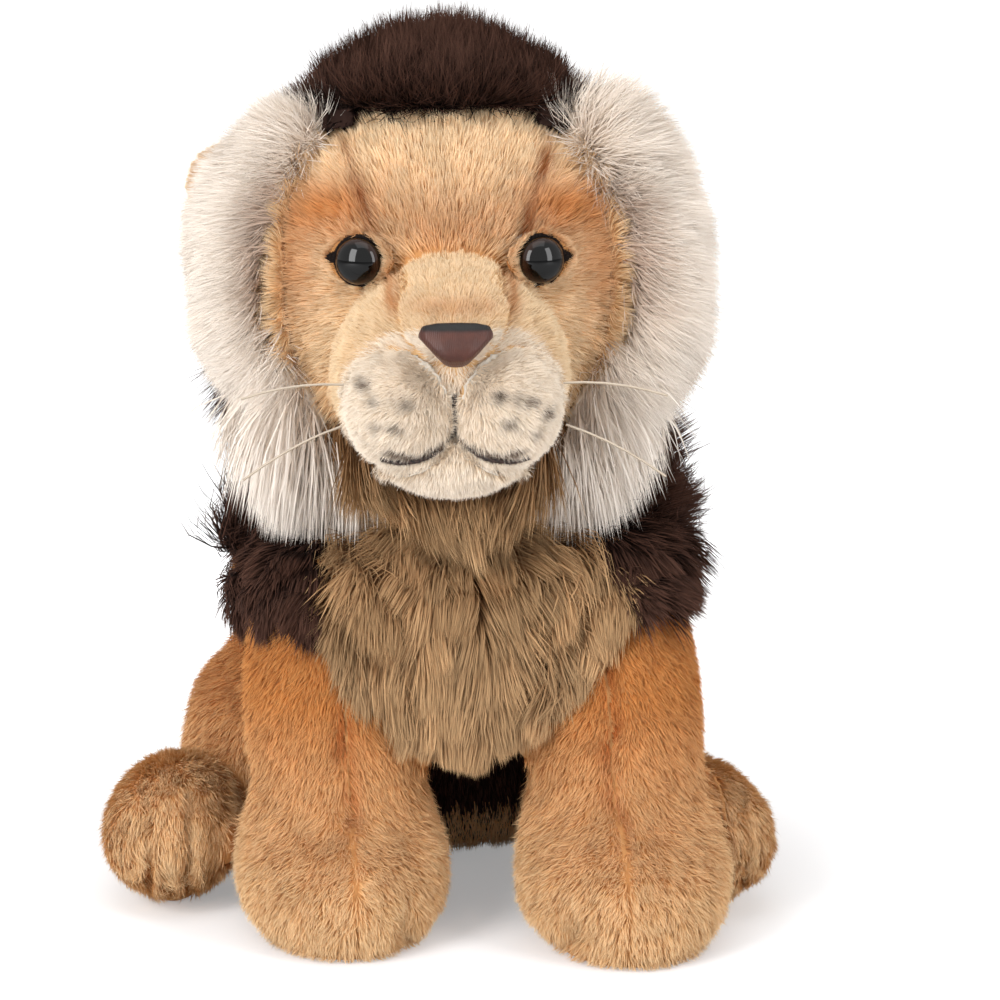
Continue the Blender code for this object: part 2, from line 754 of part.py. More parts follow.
def crown_form(neck, under_head):
    centres, halves = upright_rings(
        CROWN_RING_SHARES, CROWN_HEIGHT, CROWN_WIDTH, CROWN_DEPTH, -CROWN_BACK
    )
    crown = stuffed_form("mane_crown", "dark_plush", centres, halves, Vector((0, 1, 0)))
    place(crown, neck, (0, 0, -CROWN_BASE_DROP))
    return cut(crown, under_head)


def ruff_form(neck, under_head, side, name):
    """A crescent on a circle round the middle of the head."""
    reach = HEAD_WIDTH / 2
    centres = []
    halves = []
    for along, swell in RUFF_SWELL_SHARES:
        angle = math.radians(RUFF_TOP_DEG + (RUFF_BOTTOM_DEG - RUFF_TOP_DEG) * along)
        centres.append(Vector((side * reach * math.cos(angle), 0, reach * math.sin(angle))))
        halves.append((swell * RUFF_WALL, swell * RUFF_DEPTH / 2))
    ruff = stuffed_form("ruff_" + name, "cream_plush", centres, halves, Vector((0, 1, 0)))
    middle = HEAD_MIDDLE_SHARE * HEAD_HEIGHT - HEAD_BASE_DROP
    place(ruff, neck, (0, -RUFF_FORWARD, middle))
    return cut(ruff, under_head, solver="MANIFOLD")


def face_front(across):
    """How far the face lies in front of the neck, at a distance from its middle line."""
    bow = math.sqrt(1 - (2 * across / HEAD_WIDTH) ** 2)
    return HEAD_FORWARD + HEAD_DEPTH / 2 * bow


def eye_pieces(neck, head, side, name):
    """The stem passes through the rim and the face into the washer behind."""
    across = EYE_APART_SHARE * HEAD_WIDTH / 2
    turn = (math.radians(90), 0, side * math.radians(EYE_YAW_DEG))
    seat = -(EYE_RIM_THICKNESS + 2 * SEAM_GAP)
    proud = -seat - EYE_SEAT_DEPTH
    yaw = math.radians(EYE_YAW_DEG)
    place_at = (
        side * (across + proud * math.sin(yaw)),
        -(face_front(across) + proud * math.cos(yaw)),
        EYE_RISE,
    )
    dome = arc_profile(EYE_RADIUS, EYE_DOME_HEIGHT / EYE_RADIUS, 90, 0, ARC_POINTS)
    dome[0] = (0, EYE_DOME_HEIGHT)
    profile = dome + [(EYE_STEM_RADIUS, 0), (EYE_STEM_RADIUS, -EYE_STEM_LENGTH), (0, -EYE_STEM_LENGTH)]
    place(turned("eye_" + name, "eye_plastic", profile, EYE_STEPS), neck, place_at, turn)
    bore = EYE_STEM_RADIUS + SEAM_GAP
    washer_top = -EYE_WASHER_DEPTH
    washer_foot = washer_top - EYE_WASHER_THICKNESS
    ring = [
        (bore, washer_top),
        (EYE_WASHER_RADIUS, washer_top),
        (EYE_WASHER_RADIUS, washer_foot),
        (bore, washer_foot),
        (bore, washer_top),
    ]
    place(turned("eye_washer_" + name, "washer_plastic", ring, EYE_STEPS), neck, place_at, turn)
    pocket_radius = EYE_WASHER_RADIUS + SEAM_GAP
    socket = [
        (0, EYE_SOCKET_REACH),
        (EYE_SOCKET_RADIUS, EYE_SOCKET_REACH),
        (EYE_SOCKET_RADIUS, seat),
        (bore, seat),
        (bore, washer_top + SEAM_GAP),
        (pocket_radius, washer_top + SEAM_GAP),
        (pocket_radius, washer_foot - SEAM_GAP),
        (bore, washer_foot - SEAM_GAP),
        (bore, -EYE_STEM_LENGTH - SEAM_GAP),
        (0, -EYE_STEM_LENGTH - SEAM_GAP),
    ]
    cutter = place(turned("eye_socket_" + name, "tan_plush", socket, EYE_STEPS), neck, place_at, turn)
    cut(head, as_cutter(cutter))
    rim = eye_rim("eye_rim_" + name, bore)
    rim_middle = Vector((0, 0, -SEAM_GAP - EYE_RIM_THICKNESS / 2))
    rim_middle.rotate(Matrix.Rotation(turn[2], 3, "Z") @ Matrix.Rotation(turn[0], 3, "X"))
    place(rim, neck, Vector(place_at) + rim_middle, turn)


def eye_rim(name, bore):
    """An almond of felt with a hole for the stem."""
    curve = bpy.data.curves.new(name, "CURVE")
    curve.dimensions = "2D"
    curve.fill_mode = "BOTH"
    curve.extrude = EYE_RIM_THICKNESS / 2
    half_length = EYE_RIM_LENGTH / 2
    half_height = EYE_RIM_HEIGHT / 2
    outline = []
    for index in range(ROUND_SIDES):
        angle = 2 * math.pi * index / ROUND_SIDES
        pinch = abs(math.sin(angle)) * (1 - EYE_RIM_PINCH_SHARE * abs(math.cos(angle)))
        outline.append(
            (half_length * math.cos(angle), math.copysign(half_height * pinch, math.sin(angle)))
        )
    hole = []
    for index in range(ROUND_SIDES):
        angle = 2 * math.pi * index / ROUND_SIDES
        hole.append((bore * math.cos(angle), bore * math.sin(angle)))
    for points in (outline, hole):
        spline = curve.splines.new("POLY")
        spline.points.add(len(points) - 1)
        for point, (across, up) in zip(spline.points, points):
            point.co = (across, up, 0, 1)
        spline.use_cyclic_u = True
    return add_object(name, curve, "rim_felt")


def ear_pieces(neck, side, name):
    """The ear's inner edge lies on its hinge; its room is cut from what surrounds it."""
    height, wide, deep, _ = smoothed_row(HEAD_RING_SHARES, EAR_ROOT_RING)
    level = height * HEAD_HEIGHT - HEAD_BASE_DROP
    back = (HEAD_FORWARD - EAR_BACK) / (HEAD_DEPTH / 2 * deep)
    out = HEAD_WIDTH / 2 * wide * math.sqrt(1 - back**2) + EAR_SEAT_GAP
    turn = (0, -side * math.radians(EAR_TILT_DEG), 0)
    hinge = make_empty("ear_hinge_" + name, (side * out, -EAR_BACK, level), neck, turn)
    ear = round_form("ear_" + name, "tan_plush", EAR_REACH, EAR_THICKNESS, EAR_TALL)
    place(ear, hinge, (side * EAR_REACH / 2, 0, 0))
    space = round_form(
        "ear_room_" + name,
        "tan_plush",
        EAR_REACH + 4 * EAR_ROOM_MARGIN,
        EAR_THICKNESS + 2 * EAR_ROOM_SWING,
        EAR_TALL + 4 * EAR_ROOM_MARGIN,
    )
    place(space, hinge, (side * (EAR_REACH / 2 + EAR_ROOM_MARGIN), 0, 0))
    return as_cutter(space)


def muzzle_pieces(neck, under_head, head):
    cheeks = round_form("muzzle_cheeks", "pale_tan_plush", CHEEK_WIDTH, CHEEK_DEPTH, CHEEK_HEIGHT)
    place(cheeks, neck, (0, -HEAD_FORWARD - CHEEK_AHEAD, CHEEK_RISE))
    cut(cheeks, under_head)
    seat_against(cheeks, head)
    bridge = round_form("nose_bridge", "pale_tan_plush", BRIDGE_WIDTH, BRIDGE_LENGTH, BRIDGE_THICKNESS)
    slope = (math.radians(BRIDGE_SLOPE_DEG), 0, 0)
    place(bridge, neck, (0, -HEAD_FORWARD - BRIDGE_AHEAD, BRIDGE_RISE), slope)
    seat_against(bridge, head, cheeks)
    pads = []
    for side, name in ((1, "left"), (-1, "right")):
        pad = round_form("muzzle_pad_" + name, "white_plush", PAD_WIDTH, PAD_DEPTH, PAD_HEIGHT)
        place(pad, neck, (side * PAD_APART / 2, -HEAD_FORWARD - PAD_AHEAD, PAD_RISE))
        pads.append(pad_half(pad, side))
        seat_against(pad, head, cheeks, bridge)
    chin = round_form("chin", "white_plush", CHIN_WIDTH, CHIN_DEPTH, CHIN_HEIGHT)
    place(chin, neck, (0, -HEAD_FORWARD - CHIN_AHEAD, CHIN_RISE))
    cut(chin, under_head)
    seat_against(chin, head, cheeks, *pads)
    return cheeks, bridge, pads, chin


def pad_half(pad, side):
    """Takes away the part of a muzzle pad that lies past the middle line."""
    bm = bmesh.new()
    bm.from_mesh(pad.data)
    middle = -side * (PAD_APART - SEAM_GAP) / 2
    geometry = bm.verts[:] + bm.edges[:] + bm.faces[:]
    halved = bmesh.ops.bisect_plane(
        bm, geom=geometry, plane_co=(middle, 0, 0), plane_no=(-side, 0, 0), clear_outer=True
    )
    rim = [part for part in halved["geom_cut"] if isinstance(part, bmesh.types.BMEdge)]
    bmesh.ops.edgeloop_fill(bm, edges=rim)
    bm.normal_update()
    bmesh.ops.recalc_face_normals(bm, faces=bm.faces)
    bm.to_mesh(pad.data)
    bm.free()
    pad.data.shade_smooth()
    return pad


def nose_pad(neck, larger):
    """A softened block, narrower at its foot and sloped back at its top."""
    bm = bmesh.new()
    bmesh.ops.create_cube(bm, size=1)
    bmesh.ops.subdivide_edges(bm, edges=bm.edges, cuts=1, use_grid_fill=True)
    for vert in bm.verts:
        taper = 1 - NOSE_FOOT_SHARE * (1 / 2 - vert.co.z)
        vert.co.x *= NOSE_WIDTH * taper
        vert.co.y *= NOSE_THICKNESS
        vert.co.z *= NOSE_HEIGHT
    nose = add_object("nose", mesh_from(bm, "nose"), "nose_satin")
    soften = nose.modifiers.new("stuffing", "SUBSURF")
    soften.levels = 1
    soften.render_levels = 1
    slope = (math.radians(-NOSE_SLOPE_DEG), 0, 0)
    place(nose, neck, (0, -HEAD_FORWARD - NOSE_AHEAD, NOSE_RISE), slope)
    return seat_against(nose, *larger)


def tube(name, finish, points, radius, resolution):
    curve = bpy.data.curves.new(name, "CURVE")
    curve.dimensions = "3D"
    curve.bevel_depth = radius
    curve.bevel_resolution = resolution
    curve.use_fill_caps = True
    spline = curve.splines.new("POLY")
    spline.points.add(len(points) - 1)
    for point, place_at in zip(spline.points, points):
        point.co = (*place_at, 1)
    return add_object(name, curve, finish)


def pad_front(across, up):
    """A point on the front of a muzzle pad, from its middle line and its middle height."""
    off = (abs(across) - PAD_APART / 2) / (PAD_WIDTH / 2)
    rise = up / (PAD_HEIGHT / 2)
    bow = math.sqrt(max(0, 1 - off**2 - rise**2))
    return Vector((across, -HEAD_FORWARD - PAD_AHEAD - PAD_DEPTH / 2 * bow, PAD_RISE + up))


def made_mesh(curve_object):
    """A tube as a closed mesh, so that it can shape its neighbours."""
    bpy.context.view_layer.update()
    evaluated = curve_object.evaluated_get(bpy.context.evaluated_depsgraph_get())
    mesh = bpy.data.meshes.new_from_object(evaluated)
    bm = bmesh.new()
    bm.from_mesh(mesh)
    bmesh.ops.remove_doubles(bm, verts=bm.verts, dist=LIP_THREAD_MERGE)
    bm.normal_update()
    bmesh.ops.recalc_face_normals(bm, faces=bm.faces)
    bm.to_mesh(mesh)
    bm.free()
    name = curve_object.name
    curve_object.name = name + "_line"
    item = bpy.data.objects.new(name, mesh)
    LION.objects.link(item)
    item.parent = curve_object.parent
    item.matrix_world = curve_object.matrix_world
    bpy.data.objects.remove(curve_object, do_unlink=True)
    return item


def lip_threads(neck, larger):
    """The embroidered lines lie half sunk in the crease and along the foot of the pads."""
    half = PAD_HEIGHT / 2
    lines = {"philtrum_thread": [pad_front(0, share * half) for share in PHILTRUM_SHARES]}
    for side, name in ((1, "left"), (-1, "right")):
        rows = MOUTH_PATH_SHARES
        points = [pad_front(side * across * MOUTH_REACH, share * half) for across, share in rows]
        lines["mouth_thread_" + name] = points
    for name, points in lines.items():
        line = tube(name, "lip_thread", points, LIP_THREAD_RADIUS, 1)
        thread = made_mesh(place(line, neck))
        for form in larger:
            cut(form, room(thread))


def whiskers(neck):
    for side, name in ((1, "left"), (-1, "right")):
        for level, start_share, rise_share in WHISKER_RISE_SHARES:
            middle = Vector((side * PAD_APART / 2, -HEAD_FORWARD - PAD_AHEAD, PAD_RISE))
            heading = Vector((side, -WHISKER_CURL_SHARE, rise_share)).normalized()
            start = Vector((0, 0, start_share * PAD_HEIGHT / 2))
            reach = start_on_pad(start, heading) + SEAM_GAP
            points = []
            for step in range(ARC_POINTS):
                run = reach + WHISKER_REACH * step / (ARC_POINTS - 1)
                droop = WHISKER_CURL_SHARE * (run - reach) ** 2 / WHISKER_REACH
                points.append(middle + start + heading * run + Vector((0, -droop / 2, -droop)))
            whisker = tube(
                "whisker_" + name + "_" + level, "whisker_nylon", points, WHISKER_RADIUS, 0
            )
            place(whisker, neck)


def start_on_pad(start, heading):
    """The distance from the pad's inside to its surface along a heading."""
    scale = Vector((2 / PAD_WIDTH, 2 / PAD_DEPTH, 2 / PAD_HEIGHT))
    near = Vector((start.x * scale.x, start.y * scale.y, start.z * scale.z))
    way = Vector((heading.x * scale.x, heading.y * scale.y, heading.z * scale.z))
    half_b = near.dot(way) / way.length_squared
    rest = (near.length_squared - 1) / way.length_squared
    return -half_b + math.sqrt(half_b**2 - rest)


def build_head(neck, under_head):
    head = head_form(neck, under_head)
    crown = crown_form(neck, under_head)
    ruffs = []
    ear_spaces = []
    for side, name in ((1, "left"), (-1, "right")):
        eye_pieces(neck, head, side, name)
        ear_space = ear_pieces(neck, side, name)
        ruff = seat_against(ruff_form(neck, under_head, side, name), head, solver="MANIFOLD")
        ruffs.append(cut(ruff, ear_space, solver="MANIFOLD"))
        ear_spaces.append(ear_space)
    seat_against(crown, head)
    seat_against(crown, *ruffs, solver="MANIFOLD")
    cut(crown, *ear_spaces, solver="MANIFOLD")
    cheeks, bridge, pads, chin = muzzle_pieces(neck, under_head, head)
    nose_pad(neck, (cheeks, bridge, *pads))
    lip_threads(neck, (cheeks, *pads, chin))
    whiskers(neck)


neck_empty, under_head_cutter = build_body()
build_head(neck_empty, under_head_cutter)
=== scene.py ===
import json
import math

import bmesh
import bpy
import numpy as np
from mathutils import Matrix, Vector
from mathutils.bvhtree import BVHTree
from mathutils.kdtree import KDTree

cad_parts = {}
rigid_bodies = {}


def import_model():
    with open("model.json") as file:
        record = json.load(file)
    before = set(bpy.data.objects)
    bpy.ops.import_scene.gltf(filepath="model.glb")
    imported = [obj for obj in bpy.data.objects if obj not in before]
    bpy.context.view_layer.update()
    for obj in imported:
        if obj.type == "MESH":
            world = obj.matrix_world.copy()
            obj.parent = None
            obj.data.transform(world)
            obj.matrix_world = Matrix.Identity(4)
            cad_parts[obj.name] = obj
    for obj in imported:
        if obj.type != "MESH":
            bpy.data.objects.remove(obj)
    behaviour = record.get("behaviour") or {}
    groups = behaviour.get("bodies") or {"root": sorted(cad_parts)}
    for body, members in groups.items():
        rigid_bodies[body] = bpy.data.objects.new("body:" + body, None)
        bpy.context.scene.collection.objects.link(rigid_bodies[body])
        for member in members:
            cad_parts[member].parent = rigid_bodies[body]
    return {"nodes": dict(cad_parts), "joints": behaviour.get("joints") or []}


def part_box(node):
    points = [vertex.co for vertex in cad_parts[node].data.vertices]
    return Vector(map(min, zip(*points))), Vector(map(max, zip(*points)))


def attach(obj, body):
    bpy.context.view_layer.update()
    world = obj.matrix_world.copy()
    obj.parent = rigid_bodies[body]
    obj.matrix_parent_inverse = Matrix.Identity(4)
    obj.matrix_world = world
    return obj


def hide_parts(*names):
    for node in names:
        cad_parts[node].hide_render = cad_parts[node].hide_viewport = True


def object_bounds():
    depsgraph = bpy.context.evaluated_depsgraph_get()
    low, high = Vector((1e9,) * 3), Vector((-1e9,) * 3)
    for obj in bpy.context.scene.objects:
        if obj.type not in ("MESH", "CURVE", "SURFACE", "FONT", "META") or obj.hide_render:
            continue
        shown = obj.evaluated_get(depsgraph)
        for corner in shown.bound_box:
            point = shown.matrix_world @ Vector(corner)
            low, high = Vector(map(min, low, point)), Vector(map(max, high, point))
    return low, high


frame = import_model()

cad_low, cad_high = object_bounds()

# The studio: a white table, a white room and tall soft boxes, with the camera a little to the
# lion's right and a little above it. The toy sits by itself, and nothing else is in the picture.

lion_middle = Vector((0.0063, -0.0260, 0.118))


def shown(name, data):
    """A new object in the scene."""
    thing = bpy.data.objects.new(name, data)
    bpy.context.scene.collection.objects.link(thing)
    return thing


def stood(name, data, distance, turn_deg, rise_deg):
    """A camera or lamp, set up at a distance from the lion and turned to face it."""
    thing = shown(name, data)
    turn, rise = math.radians(turn_deg), math.radians(rise_deg)
    way = distance * Vector(
        (math.sin(turn) * math.cos(rise), -math.cos(turn) * math.cos(rise), math.sin(rise))
    )
    thing.location = lion_middle + way
    thing.rotation_mode = "QUATERNION"
    thing.rotation_quaternion = (-way).to_track_quat("-Z", "Y")
    return thing


camera_data = bpy.data.cameras.new("camera")
camera_data.lens, camera_data.sensor_width = 128, 36
camera_data.shift_x, camera_data.shift_y = 0.0488, -0.0420
camera_data.clip_start, camera_data.clip_end = 0.05, 20
bpy.context.scene.camera = stood("camera", camera_data, distance=0.95, turn_deg=-8, rise_deg=12)
bpy.context.scene.view_settings.view_transform = "Standard"

for name, distance, turn_deg, rise_deg, width, height, watts in (
    ("box_left", 1.05, -48, 22, 0.40, 0.8, 8.7),
    ("box_right", 1.05, 44, 20, 0.32, 0.8, 4.9),
    ("box_over", 1.2, 0, 75, 1.0, 0.8, 3.4),
):
    lamp = bpy.data.lights.new(name, "AREA")
    lamp.shape = "RECTANGLE"
    lamp.size, lamp.size_y, lamp.energy = width, height, watts
    stood(name, lamp, distance, turn_deg, rise_deg)


def joined(tree, name, kind, **settings):
    """A node of a material, with its settings; a link is given as an output socket."""
    made = tree.nodes.new("ShaderNode" + kind)
    made.label = name
    for key, value in settings.items():
        if key.startswith("in_"):
            key = key[3:]
            socket = made.inputs[int(key) if key.isdigit() else key.replace("_", " ")]
            if isinstance(value, bpy.types.NodeSocket):
                tree.links.new(value, socket)
            else:
                socket.default_value = value
        else:
            setattr(made, key, value)
    return made


def reckoned(tree, name, how, one, two):
    return joined(tree, name, "Math", operation=how, in_0=one, in_1=two).outputs[0]


def mapped(tree, name, value, **ends):
    """A value carried over from one stretch (in_1 to in_2) to another (in_3 to in_4)."""
    return joined(tree, name, "MapRange", in_0=value, **ends).outputs[0]


def new_finish(name, rough=None, shine=None):
    """A new material, with its nodes and its shader."""
    finish = bpy.data.materials.new(name)
    finish.use_nodes = True
    shader = finish.node_tree.nodes["Principled BSDF"]
    for socket, value in (("Roughness", rough), ("Specular IOR Level", shine)):
        if value is not None:
            shader.inputs[socket].default_value = value
    return finish, finish.node_tree, shader


world = bpy.data.worlds.new("white_room")
bpy.context.scene.world = world
world.use_nodes = True
tree = world.node_tree
tree.nodes["Background"].inputs["Color"].default_value = (1, 1, 1, 1)
ray = tree.nodes.new("ShaderNodeLightPath").outputs
seen = reckoned(tree, "seen", "MAXIMUM", ray["Is Camera Ray"], ray["Is Transmission Ray"])
seen = reckoned(tree, "seen or mirrored", "MAXIMUM", seen, ray["Is Glossy Ray"])
light_level, white_level = 0.38, 1.0
room = mapped(tree, "strength", seen, in_3=light_level, in_4=white_level)
tree.links.new(room, tree.nodes["Background"].inputs["Strength"])

bm = bmesh.new()
bmesh.ops.create_grid(bm, x_segments=2, y_segments=2, size=3.5)
mesh = bpy.data.meshes.new("table")
bm.to_mesh(mesh)
bm.free()
finish, tree, board = new_finish("table_white", rough=0.9)
board.inputs["Base Color"].default_value = (0.86, 0.86, 0.87, 1)
board.inputs["Emission Color"].default_value = (1, 1, 1, 1)
# The table glows to camera rays, and glows less within shadow_reach of the toy's foot: painted shade round the
# toy, fading out to white beyond white_reach.
ray = tree.nodes.new("ShaderNodeLightPath").outputs
spot = tree.nodes.new("ShaderNodeNewGeometry").outputs["Position"]
toy_foot = (lion_middle.x, -0.030, 0)
away = joined(tree, "away from the toy", "VectorMath", operation="DISTANCE", in_0=spot, in_1=toy_foot)
shadow_reach, white_reach = 0.085, 0.20
glow = mapped(
    tree, "glow", away.outputs["Value"], in_1=shadow_reach, in_2=white_reach, in_3=0.30, in_4=0.95
)
lift = reckoned(tree, "lift", "MULTIPLY", ray["Is Camera Ray"], glow)
tree.links.new(lift, board.inputs["Emission Strength"])
mesh.materials.append(finish)
shown("table", mesh)


# The seat. The torso is a bag of tan plush, cut flat under the seat. It holds polyester
# filling, and over a sewn round base panel a small cotton bag of plastic pellets that keeps the
# toy upright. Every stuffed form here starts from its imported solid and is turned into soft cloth.


def shade(red, green, blue):
    """A paint or yarn colour, given in the 0 to 255 steps of a colour card."""
    steps = [value / 255 for value in (red, green, blue)]
    return tuple(s / 12.92 if s < 0.04045 else ((s + 0.055) / 1.055) ** 2.4 for s in steps)


def blended(tree, name, share, first, second, how="MIX"):
    """The mix of two colours, each a shade or the output of a node."""
    first, second = (c if isinstance(c, bpy.types.NodeSocket) else (*c, 1) for c in (first, second))
    return joined(tree, name, "Mix", data_type="RGBA", blend_type=how,
                  in_0=share, in_6=first, in_7=second).outputs[2]


def yarn_noise(tree, name, where, size, detail=2.0):
    return joined(tree, name, "TexNoise", in_Vector=where, in_Scale=1 / size, in_Detail=detail).outputs[0]


def own_place(tree):
    return tree.nodes.new("ShaderNodeTexCoord").outputs["Object"]


def painted(tree, name, what="Fac"):
    """The values that a mesh carries for its points under a name."""
    return joined(tree, name, "Attribute", attribute_name=name).outputs[what]


def dressed(tree, shader, colour, relief=None, strength=0.0, depth=0.0):
    """Gives a shader its colour and, where there is one, its relief."""
    tree.links.new(colour, shader.inputs["Base Color"])
    if relief is not None:
        bump = joined(tree, "relief", "Bump", in_Height=relief, in_Strength=strength, in_Distance=depth)
        tree.links.new(bump.outputs[0], shader.inputs["Normal"])


def cloth_finish(name, light, dark, knit=0.0009, bump=0.35, edge=None):
    """The knitted backing of the plush: rows of small loops, a little uneven in colour.

    edge is the colour of the part that belongs to the next piece, by the attribute of that name.
    """
    finish, tree, shader = new_finish(name, rough=0.95, shine=0.15)
    place = own_place(tree)
    cloud = yarn_noise(tree, "uneven dye", place, 0.006, 4)
    colour = blended(tree, "cloth colour", cloud, shade(*dark), shade(*light))
    if edge is not None:
        colour = blended(tree, "edge colour", painted(tree, "edge"), colour, shade(*edge))
    rows = joined(tree, "knit rows", "TexWave", in_Vector=place,
                  in_Scale=1 / knit / 6.28, in_Distortion=2.0, in_Detail=1.0)
    dressed(tree, shader, colour, rows.outputs[0], bump, 0.0004)
    return finish


def pile_finish(name, root, middle, tip, patchy=0.25, patch=0.010, marks=(), streak=0.0, sheen=0.15,
                shine=0.25):
    """Dyed fibres, darker at the root and paler at the tip, a little uneven from tuft to tuft.

    marks is a list of (colour, attribute): patches of another dye on the same cloth, and patches
    of painted shade. streak is how much whole tufts differ from one another.
    """
    finish, tree, shader = new_finish(name, rough=0.75, shine=shine)
    root, middle, tip = shade(*root), shade(*middle), shade(*tip)
    shader.inputs["Sheen Weight"].default_value = sheen
    shader.inputs["Sheen Roughness"].default_value = 0.5
    shader.inputs["Sheen Tint"].default_value = (*tip, 1)
    ramp = joined(tree, "root to tip", "ValToRGB", in_0=painted(tree, "along"))
    ramp.color_ramp.elements[0].color = (*root, 1)
    ramp.color_ramp.elements[1].color = (*tip, 1)
    ramp.color_ramp.elements.new(0.45).color = (*middle, 1)
    colour = ramp.outputs[0]
    for dye, mark in marks:
        colour = blended(tree, "dyed " + mark, painted(tree, mark), colour, shade(*dye), "MULTIPLY")
    cloud = yarn_noise(tree, "tufts", painted(tree, "rooted_at", "Vector"), patch, 3)
    spread = reckoned(tree, "spread", "ADD", cloud, painted(tree, "fibre"))
    level = mapped(tree, "level", spread, in_1=0.3, in_2=1.7, in_3=1 - patchy, in_4=1 + patchy)
    lock = mapped(tree, "streak", painted(tree, "tuft"), in_3=1 - streak, in_4=1 + streak * 0.6)
    level = reckoned(tree, "level and streak", "MULTIPLY", level, lock)
    dressed(tree, shader, blended(tree, "uneven", 1.0, colour, level, "MULTIPLY"))
    return finish


off_table = 0.0002
seat_height = 0.0012
cloth_body = {}


def stuffed(node, body, finish, name=None, voxel=0.0015, softening=6, sink=0.0, shape=None,
            clear=0.003, skip=()):
    """The cloth of a stuffed form: the form's solid, made one even skin and softened.

    Where the skin lies open it is drawn in by sink, so that the pile brings the form back to its
    size. Returns the cloth, and for each of its points how open it lies.
    """
    mesh = frame["nodes"][node].data.copy()
    mesh.materials.clear()
    cloth = shown(name or node + "_cloth", mesh)
    even = cloth.modifiers.new("even skin", "REMESH")
    even.mode = "VOXEL"
    even.voxel_size = voxel
    soften = cloth.modifiers.new("soften", "SMOOTH")
    soften.factor = 0.5
    soften.iterations = softening
    bpy.context.view_layer.update()
    done = cloth.evaluated_get(bpy.context.evaluated_depsgraph_get())
    even_mesh = bpy.data.meshes.new_from_object(done)
    cloth.modifiers.clear()
    cloth.data = even_mesh
    cloth.data.name = cloth.name
    is_open = open_skin(cloth, node, clear, skip)
    points, normals = skin(cloth)
    drawn = sink * evened_out(cloth, is_open, 4)
    if sink > 0:
        drawn = np.minimum(drawn, 0.55 * depth_under(cloth, points, normals, sink * 2))
    if shape is not None:
        drawn = drawn + shape(points, normals) * is_open
    points = points - normals * drawn[:, None]
    points[:, 2] = np.maximum(points[:, 2], cad_low.z + off_table)
    reshaped(cloth, points)
    cloth.data.materials.append(finish)
    cloth.data.shade_smooth()
    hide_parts(node)
    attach(cloth, body)
    cloth_body[cloth.name] = body
    return cloth, is_open


def evened_out(cloth, values, times):
    """Values of a cloth's points, evened out between neighbours a number of times."""
    mesh = cloth.data
    ends = np.zeros(len(mesh.edges) * 2, np.int32)
    mesh.edges.foreach_get("vertices", ends)
    one, two = ends.reshape(-1, 2).T
    count = len(mesh.vertices)
    shares = np.bincount(ends, minlength=count)
    for _ in range(times):
        total = np.bincount(one, values[two], count) + np.bincount(two, values[one], count)
        values = (values + total) / (1 + shares)
    return values


def ray_tree(mesh, points):
    mesh.calc_loop_triangles()
    return BVHTree.FromPolygons(points, [tuple(t.vertices) for t in mesh.loop_triangles])


def depth_under(cloth, points, normals, furthest):
    """How thick a form is under each point of its skin, up to a furthest depth."""
    tree = ray_tree(cloth.data, [Vector(p) for p in points])
    depths = np.full(len(points), furthest)
    for index, (point, normal) in enumerate(zip(points, normals)):
        way = -Vector(normal)
        reach = tree.ray_cast(Vector(point) + way * 0.0003, way, furthest)[3]
        if reach is not None:
            depths[index] = reach
    return depths


def skin(cloth):
    """The places and normals of a cloth's points."""
    both = []
    for what in ("co", "normal"):
        values = np.zeros(len(cloth.data.vertices) * 3, np.float32)
        cloth.data.vertices.foreach_get(what, values)
        both.append(values.reshape(-1, 3).astype(float))
    return both


def reshaped(cloth, points):
    cloth.data.vertices.foreach_set("co", points.astype(np.float32).ravel())
    cloth.data.update()


solid_trees = {}


def solid_tree(node):
    if node not in solid_trees:
        mesh = frame["nodes"][node].data
        solid_trees[node] = ray_tree(mesh, [v.co.copy() for v in mesh.vertices])
    return solid_trees[node]


def open_skin(cloth, own_node, clear=0.003, skip=(), seen=0.0012):
    """For each point of a cloth, 1 where it faces the open and 0 where a neighbour covers it."""
    points, normals = skin(cloth)
    low, high = points.min(0) - clear, points.max(0) + clear
    near = []
    for node in frame["nodes"]:
        if node == own_node or node in skip or any(small in node for small in ("thread", "whisker", "eye")):
            continue
        node_low, node_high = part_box(node)
        if all(node_low[i] < high[i] and node_high[i] > low[i] for i in range(3)):
            near.append(solid_tree(node))
    is_open = np.ones(len(points))
    for index, (point, normal) in enumerate(zip(points, normals)):
        start, way = Vector(point), Vector(normal)
        for tree in near:
            if tree.ray_cast(start - way * seen, way, clear + seen)[0] is not None:
                is_open[index] = 0
                break
    is_open[points[:, 2] < cad_low.z + seat_height] = 0
    return is_open


def unit(ways):
    return ways / np.maximum(np.linalg.norm(ways, axis=1, keepdims=True), 1e-9)


def sown(cloth, density, count, rng):
    """Roots spread over a cloth's triangles, more of them where density is higher."""
    mesh = cloth.data
    mesh.calc_loop_triangles()
    corners = np.zeros(len(mesh.loop_triangles) * 3, np.int32)
    mesh.loop_triangles.foreach_get("vertices", corners)
    corners = corners.reshape(-1, 3)
    points, normals = skin(cloth)
    a, b, c = (points[corners[:, i]] for i in range(3))
    area = np.linalg.norm(np.cross(b - a, c - a), axis=1) / 2 * density[corners].mean(1)
    chosen = rng.choice(len(area), size=count, p=area / area.sum())
    u, v = rng.random(count), rng.random(count)
    over = u + v > 1
    u[over], v[over] = 1 - u[over], 1 - v[over]
    shares = np.stack([1 - u - v, u, v], 1)[:, :, None]
    picked = corners[chosen]
    return (points[picked] * shares).sum(1), unit((normals[picked] * shares).sum(1)), area.sum()


def carried(mesh, name, values, kind="FLOAT", what="value"):
    """Lets a mesh carry values for its points, for its material to read."""
    flat = np.asarray(values).astype(np.float32).ravel()
    mesh.attributes.new(name, kind, "POINT").data.foreach_set(what, flat)


